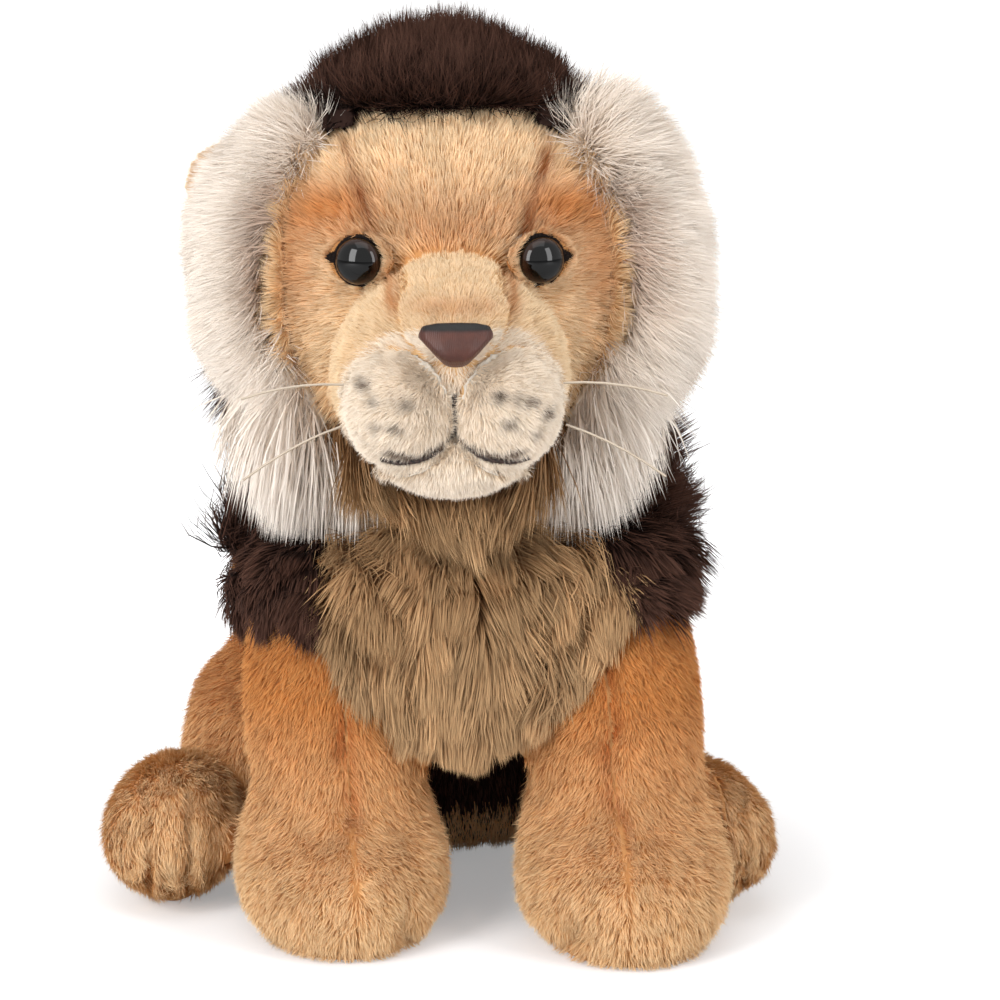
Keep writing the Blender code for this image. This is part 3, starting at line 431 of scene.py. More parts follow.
def fibre_mesh(name, paths, sides, widths, root_places, fields):
    """One mesh of flat tapering fibres: paths has a row of points for each fibre."""
    count, rows, _ = paths.shape
    steps = rows - 1
    taper = np.array([0.85, 1.0, 0.92] if steps > 2 else [1.0, 0.8])[:steps]
    half = widths[:, None] * taper[None, :] / 2
    left = paths[:, :-1] - sides[:, None, :] * half[:, :, None]
    right = paths[:, :-1] + sides[:, None, :] * half[:, :, None]
    body = np.stack([left, right], 2).reshape(count, steps * 2, 3)
    places = np.concatenate([body, paths[:, -1:]], 1)
    places[:, :, 2] = np.maximum(places[:, :, 2], cad_low.z + off_table)
    each = steps * 2 + 1
    loops = []
    for step in range(steps - 1):
        loops += [2 * step, 2 * step + 1, 2 * step + 3, 2 * step + 2]
    loops = np.array(loops + [2 * steps - 2, 2 * steps - 1, 2 * steps])
    mesh = bpy.data.meshes.new(name)
    mesh.vertices.add(count * each)
    mesh.vertices.foreach_set("co", places.astype(np.float32).ravel())
    mesh.loops.add(count * len(loops))
    own_loops = np.arange(count)[:, None] * each + loops[None, :]
    mesh.loops.foreach_set("vertex_index", own_loops.astype(np.int32).ravel())
    mesh.polygons.add(count * steps)
    face_starts = np.arange(count)[:, None] * len(loops) + np.arange(steps)[None, :] * 4
    mesh.polygons.foreach_set("loop_start", face_starts.astype(np.int32).ravel())
    mesh.update(calc_edges=True)
    run = np.repeat(np.arange(rows) / steps, 2)[:each]
    across = np.tile([0.0, 1.0], rows)[:each]
    across[-1] = 0.5
    grid = math.ceil(math.sqrt(count))
    column, row = np.arange(count) % grid, np.arange(count) // grid
    u = (column[:, None] + 0.15 + 0.7 * across[None, :]) / grid
    v = (row[:, None] + 0.08 + 0.84 * run[None, :]) / grid
    uv = np.stack([u, v], 2)[:, loops, :]
    mesh.uv_layers.new(name="OFBake").data.foreach_set("uv", uv.astype(np.float32).ravel())
    carried(mesh, "along", np.tile(run, (count, 1)))
    for key, values in fields.items():
        carried(mesh, key, np.repeat(values[:, None], each, 1))
    carried(mesh, "rooted_at", np.repeat(root_places[:, None, :], each, 1), "FLOAT_VECTOR", "vector")
    mesh.shade_smooth()
    return mesh


def pile(name, cloth, coat, density, lay, count, long, thick, parts=1, stand=0.5, fall=0.0, clump=0.004,
         gather=0.3, steps=2, wild=0.14, uneven=0.2, seed=1, sink=0.0006, roll_deg=26):
    """Plush or fur on a cloth: count fibres in each of its parts, as long and as thick as given.

    A coat is a slot, which is not used, a finish and the dyes painted on it. lay is the way that
    it is brushed, for the whole cloth or by place, and stand is how upright it grows; fall bends the
    tips down; gather draws tips together in tufts of the size clump; wild and uneven are how much
    way and length differ.
    """
    slot, finish, dyes = coat
    rng = np.random.default_rng(seed)
    total = count * parts
    roots, normals, area = sown(cloth, density, total, rng)
    brushed = lay(roots, normals) if callable(lay) else np.tile(lay, (total, 1))
    brushed = unit(brushed - normals * (brushed * normals).sum(1, keepdims=True))
    lengths, uprights, falls = (f(roots) if callable(f) else np.full(total, f) for f in (long, stand, fall))
    lengths = lengths * (1 + uneven * rng.uniform(-1, 1, total))
    loose = rng.normal(0, wild, (total, 3))
    rise = np.clip(uprights + rng.normal(0, 0.06, total), 0.02, 1)[:, None]
    first = unit(normals * np.sqrt(rise) + brushed * np.sqrt(1 - rise) + loose)
    bent = np.array([down]) * falls[:, None]
    last = unit(normals * rise * 0.6 + brushed * (1.25 - rise) + loose * 1.6 + bent)
    paths = np.zeros((total, steps + 1, 3))
    paths[:, 0] = roots - normals * sink
    for step in range(steps):
        share = (step + 0.5) / steps
        way = unit(first * (1 - share) + last * share)
        paths[:, step + 1] = paths[:, step] + way * (lengths / steps)[:, None]
    tufts = int(np.clip(area / clump**2, 8, total // 4))
    middles = rng.choice(total, size=tufts, replace=False)
    tree = KDTree(tufts)
    for index, middle in enumerate(middles):
        tree.insert(roots[middle], index)
    tree.balance()
    nearest = np.array([tree.find(root)[1] for root in roots])
    leader = paths[middles][nearest]
    distance = np.linalg.norm(roots - roots[middles][nearest], axis=1)
    hold = gather * np.exp(-((distance / clump) ** 2))[:, None, None]
    share = (np.arange(steps + 1) / steps)[None, :, None] ** 1.4
    paths = paths + (leader - paths) * hold * share
    end_way = unit(paths[:, -1] - paths[:, 0])
    side = unit(np.cross(end_way, normals) + 1e-6)
    other = unit(np.cross(end_way, side))
    turn = np.radians(rng.normal(0, roll_deg, total))[:, None]
    side = side * np.cos(turn) + other * np.sin(turn)
    widths = thick * (1 + 0.3 * rng.uniform(-1, 1, total))
    fields = {"fibre": rng.random(total), "tuft": rng.random(tufts)[nearest]}
    for key, field in dyes.items():
        fields[key] = field(roots, normals) if callable(field) else np.full(total, field)
    for part in range(parts):
        own = slice(part * count, (part + 1) * count)
        part_name = name + "_" + str(part + 1) if parts > 1 else name
        own_fields = {key: values[own] for key, values in fields.items()}
        mesh = fibre_mesh(part_name, paths[own], side[own], widths[own], roots[own], own_fields)
        mesh.materials.append(finish)
        fur = shown(part_name, mesh)
        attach(fur, cloth_body[cloth.name])


down = (0.0, 0.0, -1.0)


def rising(values, start, over):
    """0 up to a start, growing to 1 over the stretch beyond it."""
    return np.clip((values - start) / over, 0, 1)


def falling(values, end, over):
    """1 until a stretch before the end, dying away to 0 there."""
    return np.clip((end - values) / over, 0, 1)


def bell(values, middle, width):
    return np.exp(-(((values - middle) / width) ** 2))


def upper(roots, normals):
    """The plush of the limbs is darker and more orange above the feet."""
    return rising(roots[:, 2], 0.020, 0.044)


tan_cloth = cloth_finish("tan_cloth", (214, 160, 104), (196, 138, 84))
# The seam mark of the tan plush is painted shade, darkening the plush in the grooves of the seams.
tan_pile = pile_finish("tan_pile", (198, 138, 80), (228, 178, 121), (246, 216, 171), 0.12, 0.007,
                       marks=[((206, 152, 104), "seam"), ((230, 188, 142), "upper")], streak=0.06)
tan_coat = ("tan_plush", tan_pile, {"seam": 0, "upper": upper})
foot_coat = ("tan_plush", tan_pile, {"seam": 0, "upper": 0})

torso, torso_open = stuffed("torso", "torso", tan_cloth, sink=0.0024)
pile("torso_pile", torso, tan_coat, torso_open, down, count=26000, long=0.0050, thick=0.00027, seed=11)

stuffed("base_panel", "torso", tan_cloth, voxel=0.0008, softening=1)
bag_cloth = cloth_finish("bag_cloth", (232, 226, 212), (214, 206, 190), 0.0006, 0.5)
stuffed("pellet_bag", "torso", bag_cloth)


# The hind legs. Each haunch is a tan plush form sewn to the side of the torso, and the hind
# foot is a second form sewn under it, splayed out, with its sole flat on the table.


def outward_down(roots, normals):
    return normals * 0.6 + np.array([0.0, -0.3, -1.0])


toward_toes = (0.0, -1.0, -0.6)


def haunch_shape(points, normals):
    return 0.0035 * rising(points[:, 2], 0.044, 0.012)


for side, mark in ((1, "left"), (-1, "right")):
    node = "haunch_" + mark
    haunch, haunch_open = stuffed(node, "torso", tan_cloth, sink=0.0024, shape=haunch_shape)
    pile(node + "_pile", haunch, tan_coat, haunch_open, outward_down, count=20000, long=0.0052, thick=0.00028,
         seed=21 + side)
    node = "hind_foot_" + mark
    foot_low, foot_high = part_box(node)
    toe_y = foot_low[1] + 0.010
    foot_middle = (foot_low[0] + foot_high[0]) / 2 + side * 0.004

    def toe_creases(points, normals):
        """Two creases over the front of the foot, where thread draws the toes in."""
        drawn = np.zeros(len(points))
        for off in (-0.006, 0.007):
            drawn += np.exp(-(((points[:, 0] - foot_middle - off) / 0.0016) ** 2))
        return 0.0028 * drawn * falling(points[:, 1], toe_y + 0.010, 0.012)

    foot, foot_open = stuffed(node, "torso", tan_cloth, sink=0.0026, shape=toe_creases)
    pile(node + "_pile", foot, foot_coat, foot_open, toward_toes, count=32000, long=0.0052, thick=0.00027,
         stand=0.34, gather=0.35, clump=0.005, seed=25 + side)


# The front legs. Each is one sewn limb from the shoulder to the paw, with a seam down its
# front, and it is stuffed firmly enough to hold the chest up. The plush is brushed away from
# the seam, and thread draws the paw into two toes.

for side, mark in ((1, "left"), (-1, "right")):
    node = "front_leg_" + mark
    leg_low, leg_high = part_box(node)
    leg_middle = (leg_low[0] + leg_high[0]) / 2 - (side + 1) * 0.0022
    paw_y = leg_low[1]

    def leg_seam(points, normals=None):
        """How near a point is to the seam, which wanders a little and fades above the paw."""
        up = points[:, 2]
        wander = 0.0012 * np.sin(up * 210 + side) + 0.0006 * np.sin(up * 560)
        fade = rising(up, 0.026, 0.014) * falling(up, 0.086, 0.012)
        fade = fade * (0.72 + 0.28 * np.sin(up * 330 + 2))
        near = np.exp(-(((points[:, 0] - leg_middle - wander) / 0.0019) ** 2))
        return near * falling(points[:, 1], paw_y + 0.062, 0.012) * fade

    def leg_shape(points, normals):
        """The seam, the ankle above the paw and the crease between the toes."""
        up = points[:, 2]
        toe = np.exp(-(((points[:, 0] - leg_middle + side * 0.014) / 0.0022) ** 2))
        toe = toe * falling(up, 0.020, 0.012) * falling(points[:, 1], paw_y + 0.030, 0.015)
        ankle = bell(up, 0.040, 0.010)
        return 0.0016 * leg_seam(points) + 0.0045 * toe + 0.0020 * ankle + 0.0045 * rising(up, 0.086, 0.008)

    def leg_brush(roots, normals):
        aside = roots[:, 0] - leg_middle
        ways = normals * 0.35
        ways[:, 2] -= 1.0
        ways[:, 0] += np.sign(aside) * 0.5 * np.exp(-np.abs(aside) / 0.006)
        return ways

    def leg_stand(roots):
        return 0.38 + 0.25 * falling(roots[:, 2], 0.034, 0.010)

    # Painted shade: the plush along the leg's seam is darkened, where shade falls in its groove.
    def seam_shade(roots, normals):
        return np.clip(leg_seam(roots) * 0.8, 0, 1)

    leg, leg_open = stuffed(node, "torso", tan_cloth, sink=0.0024, shape=leg_shape)
    below_top = 1 - rising(skin(leg)[0][:, 2], 0.0925, 0.003)
    pile(node + "_pile", leg, ("tan_plush", tan_pile, {"seam": seam_shade, "upper": upper}), leg_open * below_top,
         leg_brush, count=42000, long=0.0046, thick=0.00026, parts=2, stand=leg_stand, gather=0.28, clump=0.005,
         seed=31 + side)


# The belly panel, a strip of dark plush sewn between the front legs from the seat to the chest.
# It lies in the shade under the bib, and its dark colour is partly the plush's own and partly
# painted shade. Its foot is tan.

dark_cloth = cloth_finish("dark_cloth", (52, 34, 28), (34, 20, 16))
dark_pile = pile_finish("dark_pile", (12, 7, 5), (36, 21, 16), (98, 68, 56), 0.25,
                        sheen=0.03, streak=0.18, shine=0.10)
dark_coat = ("dark_plush", dark_pile, {})
belly, belly_open = stuffed("belly_panel", "torso", dark_cloth, voxel=0.001, softening=2,
                            skip=("torso",))
belly_points = skin(belly)[0]
dark_part = np.clip((belly_points[:, 2] - 0.0175 - 0.0015 * np.sin(belly_points[:, 0] * 900)) / 0.002, 0, 1)
# The dark pile of the belly is partly painted shade under the bib.
pile("belly_panel_pile", belly, dark_coat, belly_open * dark_part, down, count=7000, long=0.006,
     thick=0.00034, stand=0.3, seed=41)
pile("belly_foot_pile", belly, tan_coat, belly_open * (1 - dark_part), down, count=4000, long=0.005,
     thick=0.00030, stand=0.3, seed=42)


# The chest bib: a shaped piece of long fur, sewn under the chin and over the tops of the
# front legs. Its fibres are tan with dark bands, hang down, and part into pointed locks.

ticked_cloth = cloth_finish("ticked_cloth", (150, 112, 72), (110, 76, 44))
ticked_pile = pile_finish("ticked_pile", (84, 55, 33), (162, 121, 81), (204, 167, 123),
                          0.22, 0.003, streak=0.26)
ticked_coat = ("ticked_plush", ticked_pile, {})
bib_locks = dict(thick=0.00034, fall=0.4, clump=0.0064, gather=0.7, steps=3, wild=0.10)


def bib_shape(points, normals):
    """The bib's top slopes down on either side of the throat."""
    aside = np.abs(points[:, 0] - lion_middle.x)
    return 0.0040 * rising(points[:, 2], 0.088, 0.012) * rising(aside, 0.016, 0.010)


def bib_hang(roots, normals):
    ways = np.tile(down, (len(roots), 1))
    aside = roots[:, 0] - lion_middle.x
    ways[:, 0] = aside * np.where(aside > 0, 20, 14)
    return ways


def bib_length(roots):
    """Long locks, shorter along the lower edge, which ends in a blunt point."""
    room = roots[:, 2] - 0.0440 - 0.50 * np.abs(roots[:, 0] - 0.005)
    return np.clip(room / 0.9, 0.0040, 0.0205)


def bib_stand(roots):
    return 0.22 + 0.32 * rising(roots[:, 2], 0.092, 0.008)


bib, bib_open = stuffed("chest_bib", "torso", ticked_cloth, sink=0.006, clear=0.004,
                        skip=("torso", "neck_plug"), shape=bib_shape)
pile("chest_bib_pile", bib, ticked_coat, bib_open, bib_hang, count=28000, long=bib_length, parts=2,
     stand=bib_stand, seed=51, **bib_locks)


# The tops of the front legs carry the fur of the bib as far as its edge, and beyond that the
# same dark fur as the mane. The bib's edge is given as heights and reaches to the side.

for side, mark, heights, reaches in (
    (1, "left", (0.045, 0.054, 0.062, 0.072, 0.0825, 0.0906, 0.1016),
     (0.010, 0.0237, 0.0342, 0.0447, 0.0500, 0.0470, 0.0392)),
    (-1, "right", (0.053, 0.064, 0.075, 0.0856, 0.0961, 0.1091),
     (0.0130, 0.0233, 0.0297, 0.0322, 0.0322, 0.0282)),
):
    leg = bpy.data.objects["front_leg_" + mark + "_cloth"]
    leg_points, leg_normals = skin(leg)
    leg_open = open_skin(leg, "front_leg_" + mark)
    up = leg_points[:, 2]
    beyond = side * leg_points[:, 0] - np.interp(up, heights, reaches)
    wavy = 0.0015 * np.sin(leg_points[:, 0] * 700)
    high = np.clip((up - 0.0845 - 0.20 * np.clip(beyond, 0, 1) + wavy) / 0.003, 0, 1)
    pile("mane_front_" + mark + "_pile", leg, dark_coat, leg_open * high * rising(beyond, -0.001, 0.002),
         down, count=11000, long=0.0150, thick=0.00038, stand=0.30, fall=0.4, clump=0.0070, gather=0.65,
         steps=3, wild=0.13, seed=44 + side)
    from_edge = side * leg_points[:, 0] - np.interp(up - 0.010, heights, reaches)
    low = rising(up, 0.058, 0.004) * falling(up, 0.093, 0.003) * (leg_normals[:, 1] < 0.2)
    pile("bib_side_" + mark + "_pile", leg, ticked_coat, leg_open * np.clip(-from_edge / 0.003, 0, 1) * low, down,
         count=10000, long=0.0150, stand=0.20, seed=47 + side, **bib_locks)


# The shoulder mane: three pieces of long dark fur sewn round the shoulders, behind the bib.
# The ruff hangs over its front ends, and at the foot of the side pieces the plush is tan.

for order, (node, long, upright, count, top_long, top_aside) in enumerate((
    ("mane_left", 0.0160, 0.40, 36000, 0.021, 0.6),
    ("mane_right", 0.0115, 0.12, 32000, 0.014, 0.0),
    ("mane_back", 0.0150, 0.36, 14000, 0.014, 0.0),
)):
    mane_low, mane_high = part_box(node)

    def mane_up(points):
        """1 at the top edge behind the ruff, where the fur stands up, and 0 lower and in front."""
        high = rising(points[:, 2] - mane_high[2], -0.020, 0.008)
        return high * rising(points[:, 1], -0.034, 0.014)

    def mane_draw(points, normals):
        """The lower edge lies flatter than the top."""
        return 0.010 * falling(points[:, 2], mane_low[2] + 0.022, 0.014)

    def mane_hang(roots, normals):
        ways = normals * 0.7
        ways[:, 2] += -0.9 + 2.6 * mane_up(roots)
        ways[:, 0] += top_aside * mane_up(roots)
        return ways

    def mane_stand(roots):
        on_top = rising(roots[:, 2] - mane_high[2], -0.0125, 0.003) * mane_up(roots)
        return upright + (0.85 - upright) * on_top

    def mane_fall(roots):
        return 0.40 * (1 - mane_up(roots))

    def mane_length(roots):
        return long + top_long * mane_up(roots)

    mane, mane_open = stuffed(node, "torso", dark_cloth, sink=0.008, skip=("neck_plug",), shape=mane_draw)
    mane_points = skin(mane)[0]
    if node != "mane_back":
        foot = 0.0835 + 0.0020 * np.sin(mane_points[:, 0] * 600) + 0.0012 * np.sin(mane_points[:, 1] * 1100)
        dark_part = rising(mane_points[:, 2], foot, 0.003)
        pile(node + "_foot_pile", mane, tan_coat, mane_open * (1 - dark_part), down, count=12000,
             long=0.0046, thick=0.00028, stand=0.36, seed=61 + order)
        mane_open = mane_open * dark_part
    pile(node + "_pile", mane, dark_coat, mane_open, mane_hang, count=count, long=mane_length, thick=0.00036,
         stand=mane_stand, fall=mane_fall, clump=0.0070, gather=0.6, steps=3, seed=64 + order)


# The tail: a thin stuffed tube of tan plush that swings on its seam, with a tuft of dark fur
# sewn over its end.

tail_ahead = (1.0, 0.3, 0.0)
tuft_ahead = np.array([0.62, -0.78, 0.0])


def sewn_over_tail(points, normals):
    """The tuft's near end reaches over the end of the tail."""
    along = (points - points.mean(axis=0)) @ tuft_ahead
    return -0.0075 * np.clip((-along - 0.005) / 0.005, 0, 1)


tail, tail_open = stuffed("tail", "tail", tan_cloth, voxel=0.001, softening=3, sink=0.0006, skip=("tail_tuft",))
pile("tail_pile", tail, foot_coat, tail_open, tail_ahead, count=10000, long=0.0034, thick=0.00026, stand=0.4,
     seed=61)
tuft, tuft_open = stuffed("tail_tuft", "tail", dark_cloth, voxel=0.001, softening=2, sink=0.002,
                          shape=sewn_over_tail, skip=("tail",))
pile("tail_tuft_pile", tuft, dark_coat, tuft_open, tuft_ahead, count=9000, long=0.013, thick=0.00036, stand=0.3,
     clump=0.003, gather=0.5, steps=3, seed=62)


# The neck: a ball of packed filling inside the throat, on which the head turns and nods. Where
# it shows between the head and the shoulders it carries the fur of the bib.

filling = cloth_finish("packed_filling", (236, 234, 230), (218, 216, 210), 0.0014, 0.8)
neck, neck_open = stuffed("neck_plug", "neck", filling, name="neck_filling")
pile("neck_pile", neck, ticked_coat, neck_open, down, count=5000, long=0.0150, thick=0.00036, stand=0.55,
     fall=0.3, clump=0.0055, gather=0.5, steps=3, seed=68)


# The head: a tan plush ball, stuffed hard. The face is cut as a forehead panel between two
# curved seams and a cheek on each side, and its plush is brushed up and away from the muzzle.
# Brown is dyed in over the eyes. Above the forehead the dark fur of the crown is sewn on.

neck_place = np.array(Vector(next(j for j in frame["joints"] if j["name"] == "head_turn")["pos_m"]))
face_turn = math.radians(-5.5)
face_right = np.array([math.cos(face_turn), math.sin(face_turn), 0.0])
face_ahead = np.array([math.sin(face_turn), -math.cos(face_turn), 0.0])


def on_face(points):
    """Points of the head as seen from the front: across to its left, up, and ahead of the neck."""
    from_neck = points - neck_place
    return from_neck @ face_right, from_neck[:, 2], from_neck @ face_ahead


def patch(one, one_middle, one_width, two, two_middle, two_width):
    """A soft oval patch of dye or a hollow."""
    return np.exp(-(((one - one_middle) / one_width) ** 2) - ((two - two_middle) / two_width) ** 2)


def face_seam(points):
    """How near a point lies to the seam on either side of the forehead."""
    across, up, ahead = on_face(points)
    seam = 0.0170 + 0.0105 * rising(up, 0.056, 0.030) ** 1.1
    front = rising(ahead, 0.030, 0.010) * (up > 0.054)
    return bell(np.abs(across), seam, 0.0016) * front * (0.7 + 0.3 * np.sin(up * 420 + across * 60))


def above_crest(points):
    """How far a point lies above the line on which the crown's fur is sewn to the forehead."""
    across, up, ahead = on_face(points)
    return up - (0.0885 - 0.004 * np.clip((np.abs(across) - 0.012) / 0.024, 0, 2) ** 2)


def face_shape(points, normals):
    """The forehead seams are drawn in, and the eyes sit in shallow hollows."""
    across, up, ahead = on_face(points)
    hollow = patch(np.abs(across), 0.0235, 0.010, up, 0.056, 0.009) * (ahead > 0.03)
    return 0.0014 * face_seam(points) + 0.0010 * hollow


def face_brush(roots, normals):
    across, up, ahead = on_face(roots)
    away = roots - (neck_place + face_ahead * 0.06 + np.array([0, 0, 0.046]))
    forehead = rising(up, 0.056, 0.008) * (np.abs(across) < 0.026)
    fan = face_right[None, :] * (across * 0.7)[:, None] + np.array([0, 0, 0.03])
    return away * (1 - forehead)[:, None] + fan * forehead[:, None]


def brow(roots, normals):
    across, up, ahead = on_face(roots)
    over = patch(np.abs(across), 0.0275, 0.0115, up, 0.0655, 0.0068)
    inner = patch(across, 0, 0.016, up, 0.060, 0.009)
    outer = patch(np.abs(across), 0.037, 0.007, up, 0.052, 0.014)
    return np.clip(0.85 * over + 0.45 * inner + 0.6 * outer, 0, 1) * (ahead > 0.02)


# Painted shade: the plush along the forehead seams is darkened, where shade falls in their grooves.
def face_seam_shade(roots, normals):
    return np.clip(face_seam(roots), 0, 1)


# The face's seam mark is painted shade in the seams' grooves; brow is the brown dyed over the eyes.
face_pile = pile_finish("face_pile", (212, 156, 96), (240, 199, 148), (249, 226, 190), 0.11, 0.007,
                        marks=[((212, 154, 94), "brow"), ((168, 114, 70), "seam")], streak=0.14)
face_coat = ("tan_plush", face_pile, {"brow": brow, "seam": face_seam_shade})
plain_face_coat = ("tan_plush", face_pile, {"brow": 0, "seam": 0})
head, head_open = stuffed("head", "head", tan_cloth, voxel=0.0012, sink=0.0024, shape=face_shape,
                          skip=("mane_crown",))
head_above = above_crest(skin(head)[0])
pile("face_pile", head, face_coat, head_open * falling(head_above, 0.001, 0.002), face_brush, count=56000,
     long=0.0056, thick=0.00023, parts=2, stand=0.42, gather=0.35, clump=0.0035, seed=71)


# The muzzle: tan cheeks and a bridge of the shortest plush, and in front of them two white
# pads over a white chin, each a small stuffed form. The pads have brown spots from an airbrush.

short_cloth = cloth_finish("short_cloth", (232, 194, 146), (214, 172, 122))
# The nose_edge_shade mark of the short plush is painted shade above the nose and beside the bridge.
short_pile = pile_finish("short_pile", (206, 158, 106), (230, 195, 149), (243, 219, 184), 0.07, 0.006,
                         marks=[((206, 150, 96), "nose_edge_shade")], streak=0.06)
white_cloth = cloth_finish("white_cloth", (226, 218, 206), (208, 196, 180))
white_pile = pile_finish("white_pile", (218, 192, 160), (243, 225, 201), (251, 239, 223), 0.05, 0.006,
                         marks=[((84, 64, 52), "spots")], streak=0.06)
spot_places = (
    (-0.0208, 0.0290, 0.9), (-0.0183, 0.0258, 0.6), (-0.0108, 0.0250, 0.6), (-0.0180, 0.0200, 0.5),
    (-0.0135, 0.0198, 0.7), (0.0097, 0.0268, 0.9), (0.0133, 0.0262, 0.45), (0.0169, 0.0254, 0.8),
    (0.0214, 0.0224, 1.0), (0.0119, 0.0208, 0.8), (0.0184, 0.0178, 0.5),
)


def muzzle_brush(roots, normals):
    return roots - (neck_place + face_ahead * 0.085 + np.array([0, 0, 0.034]))


def spots(roots, normals):
    """The airbrushed spots, and the line of the lips painted beside the stitches."""
    across, up, ahead = on_face(roots)
    total = np.zeros(len(roots))
    for spot_across, spot_up, depth in spot_places:
        total += depth * patch(across, spot_across, 0.0015, up, spot_up, 0.0012)
    aside = np.abs(across)
    lip = 0.0166 - 0.0042 * np.clip(aside / 0.009, 0, 1) ** 0.7 + 0.0012 * rising(aside, 0.010, 0.006)
    total += bell(up, lip, 0.0008) * falling(aside, 0.0170, 0.002) * (ahead > 0.07)
    return np.clip(total, 0, 1)


def nose_edge_shade(roots, normals):
    """Painted shade: the plush is darkened just above the nose and in the seams beside the bridge."""
    across, up, ahead = on_face(roots)
    over_nose = np.exp(-(((up - 0.0455) / 0.0022) ** 2) - (across / 0.010) ** 4) * 0.45
    beside = bell(np.abs(across), 0.0142, 0.0013) * rising(up, 0.041, 0.004) * falling(up, 0.060, 0.003)
    return over_nose + 0.75 * beside


def white_zone(points):
    """1 where the muzzle is white: an oval round the mouth, up to the corners of the nose."""
    across, up, ahead = on_face(points)
    squareness = 2.6
    out = np.abs((across - 0.0005) / 0.0262) ** squareness + np.abs((up - 0.0166) / 0.0245) ** squareness
    return falling(out ** (1 / squareness), 1.03, 0.06) * (ahead > 0.055)


white_coat = ("white_plush", white_pile, {"spots": spots})
short_coat = ("pale_tan_plush", short_pile, {"nose_edge_shade": nose_edge_shade})
for node, cloth_look, sink, tan_count, white_count, long in (
    ("muzzle_cheeks", short_cloth, 0.0016, 34000, 12000, 0.0040),
    ("nose_bridge", short_cloth, 0.0010, 18000, 3000, 0.0026),
    ("muzzle_pad_left", white_cloth, 0.0022, 0, 28000, 0.0038),
    ("muzzle_pad_right", white_cloth, 0.0022, 0, 28000, 0.0038),
    ("chin", white_cloth, 0.0020, 0, 20000, 0.0038),
):
    form, form_open = stuffed(node, "head", cloth_look, voxel=0.0008, softening=4, sink=sink, clear=0.0015)
    white = white_zone(skin(form)[0]) if tan_count else np.ones(len(form_open))
    growth = dict(long=long, thick=0.00021, stand=0.42, gather=0.35, clump=0.003)
    if tan_count:
        pile(node + "_pile", form, short_coat, form_open * (1 - white), muzzle_brush, count=tan_count,
             seed=80 + len(node), **growth)
    pile(node + "_white_pile", form, white_coat, form_open * white, muzzle_brush, count=white_count,
         seed=90 + len(node), **growth)


# The throat: the top of the bib is sewn under the chin, so a fringe of its fur hangs from the
# underside of the head, over the top of the bib.


def throat_hang(roots, normals):
    across, up, ahead = on_face(roots)
    ways = np.tile(down, (len(roots), 1))
    return ways + face_right[None, :] * (across * 14)[:, None] + face_ahead[None, :] * 0.35


def throat(points, normals):
    across, up, ahead = on_face(points)
    below = falling(up, 0.014, 0.004) * (normals[:, 2] < -0.25)
    return below * (ahead > 0.012) * falling(np.abs(across - 0.003), 0.034, 0.004)


cheeks = bpy.data.objects["muzzle_cheeks_cloth"]
for mark, carrier, bare, count, seed in (
    ("head", head, head_open, 14000, 57),
    ("muzzle", cheeks, open_skin(cheeks, "muzzle_cheeks", 0.0015), 12000, 58),
):
    pile("throat_fringe_" + mark, carrier, ticked_coat, bare * throat(*skin(carrier)), throat_hang, count=count,
         long=0.0205, thick=0.00032, stand=0.30, fall=0.6, clump=0.0062, gather=0.7, steps=3, wild=0.12,
         uneven=0.35, seed=seed)


# The nose: a small padded triangle of brown satin, sewn over the front of the bridge, and
# nearly black along its top edge.

satin, tree, shader = new_finish("nose_satin", rough=0.38, shine=0.35)
place = own_place(tree)
colour = blended(tree, "satin colour", yarn_noise(tree, "satin floats", place, 0.003),
                 shade(54, 27, 21), shade(92, 50, 38))
colour = blended(tree, "edge colour", painted(tree, "edge"), colour, shade(12, 8, 7))
weave = joined(tree, "satin weave", "TexWave", in_Vector=place, in_Scale=700.0, in_Distortion=0.5)
dressed(tree, shader, colour, weave.outputs[0], 0.25, 0.0002)
nose, _ = stuffed("nose", "head", satin, name="nose_satin_pad", voxel=0.0004, softening=5)
nose_points = skin(nose)[0]
across, up, _ = on_face(nose_points)
low = np.clip((up.max() - up) / (up.max() - up.min()), 0, 1)
nose_points += face_right[None, :] * (-across * 0.55 * rising(low, 0.35, 0.65))[:, None]
reshaped(nose, nose_points)
carried(nose.data, "edge", np.clip((up - up.max() + 0.0022) / 0.0008, 0, 1))


# The lips are embroidered: one dark line down between the pads and one along each pad's foot.
# The white fibres beside the stitches lie over them, so that only a thin line shows.

lip_thread, tree, shader = new_finish("lip_thread", rough=0.6)
twist = joined(tree, "twist", "TexWave", bands_direction="DIAGONAL", in_Vector=own_place(tree),
               in_Scale=400.0, in_Distortion=1.0)
colour = blended(tree, "thread colour", twist.outputs[0], shade(26, 16, 14), shade(58, 40, 34))
dressed(tree, shader, colour, twist.outputs[0], 0.6, 0.0003)
lip_fuzz = pile_finish("lip_fuzz", (20, 13, 11), (40, 28, 24), (74, 56, 46), 0.2)
stitch_points = []
for order, node in enumerate(("philtrum_thread", "mouth_thread_left", "mouth_thread_right")):
    lip, _ = stuffed(node, "head", lip_thread, name=node + "_stitches", voxel=0.0003, softening=1)
    reshaped(lip, skin(lip)[0] - face_ahead * 0.0016 + np.array([0, 0, 0.0004]))
    stitch_points.extend(skin(lip)[0])
    pile(node + "_fuzz", lip, ("lip_thread", lip_fuzz, {}), np.ones(len(lip.data.vertices)), down,
         count=500, long=0.0012, thick=0.00014, clump=0.001, wild=0.3, seed=141 + order)

stitches = KDTree(len(stitch_points))
for index, point in enumerate(stitch_points):
    stitches.insert(point, index)
stitches.balance()


def to_stitches(roots, normals):
    return np.array([np.array(stitches.find(root)[0]) for root in roots]) - roots


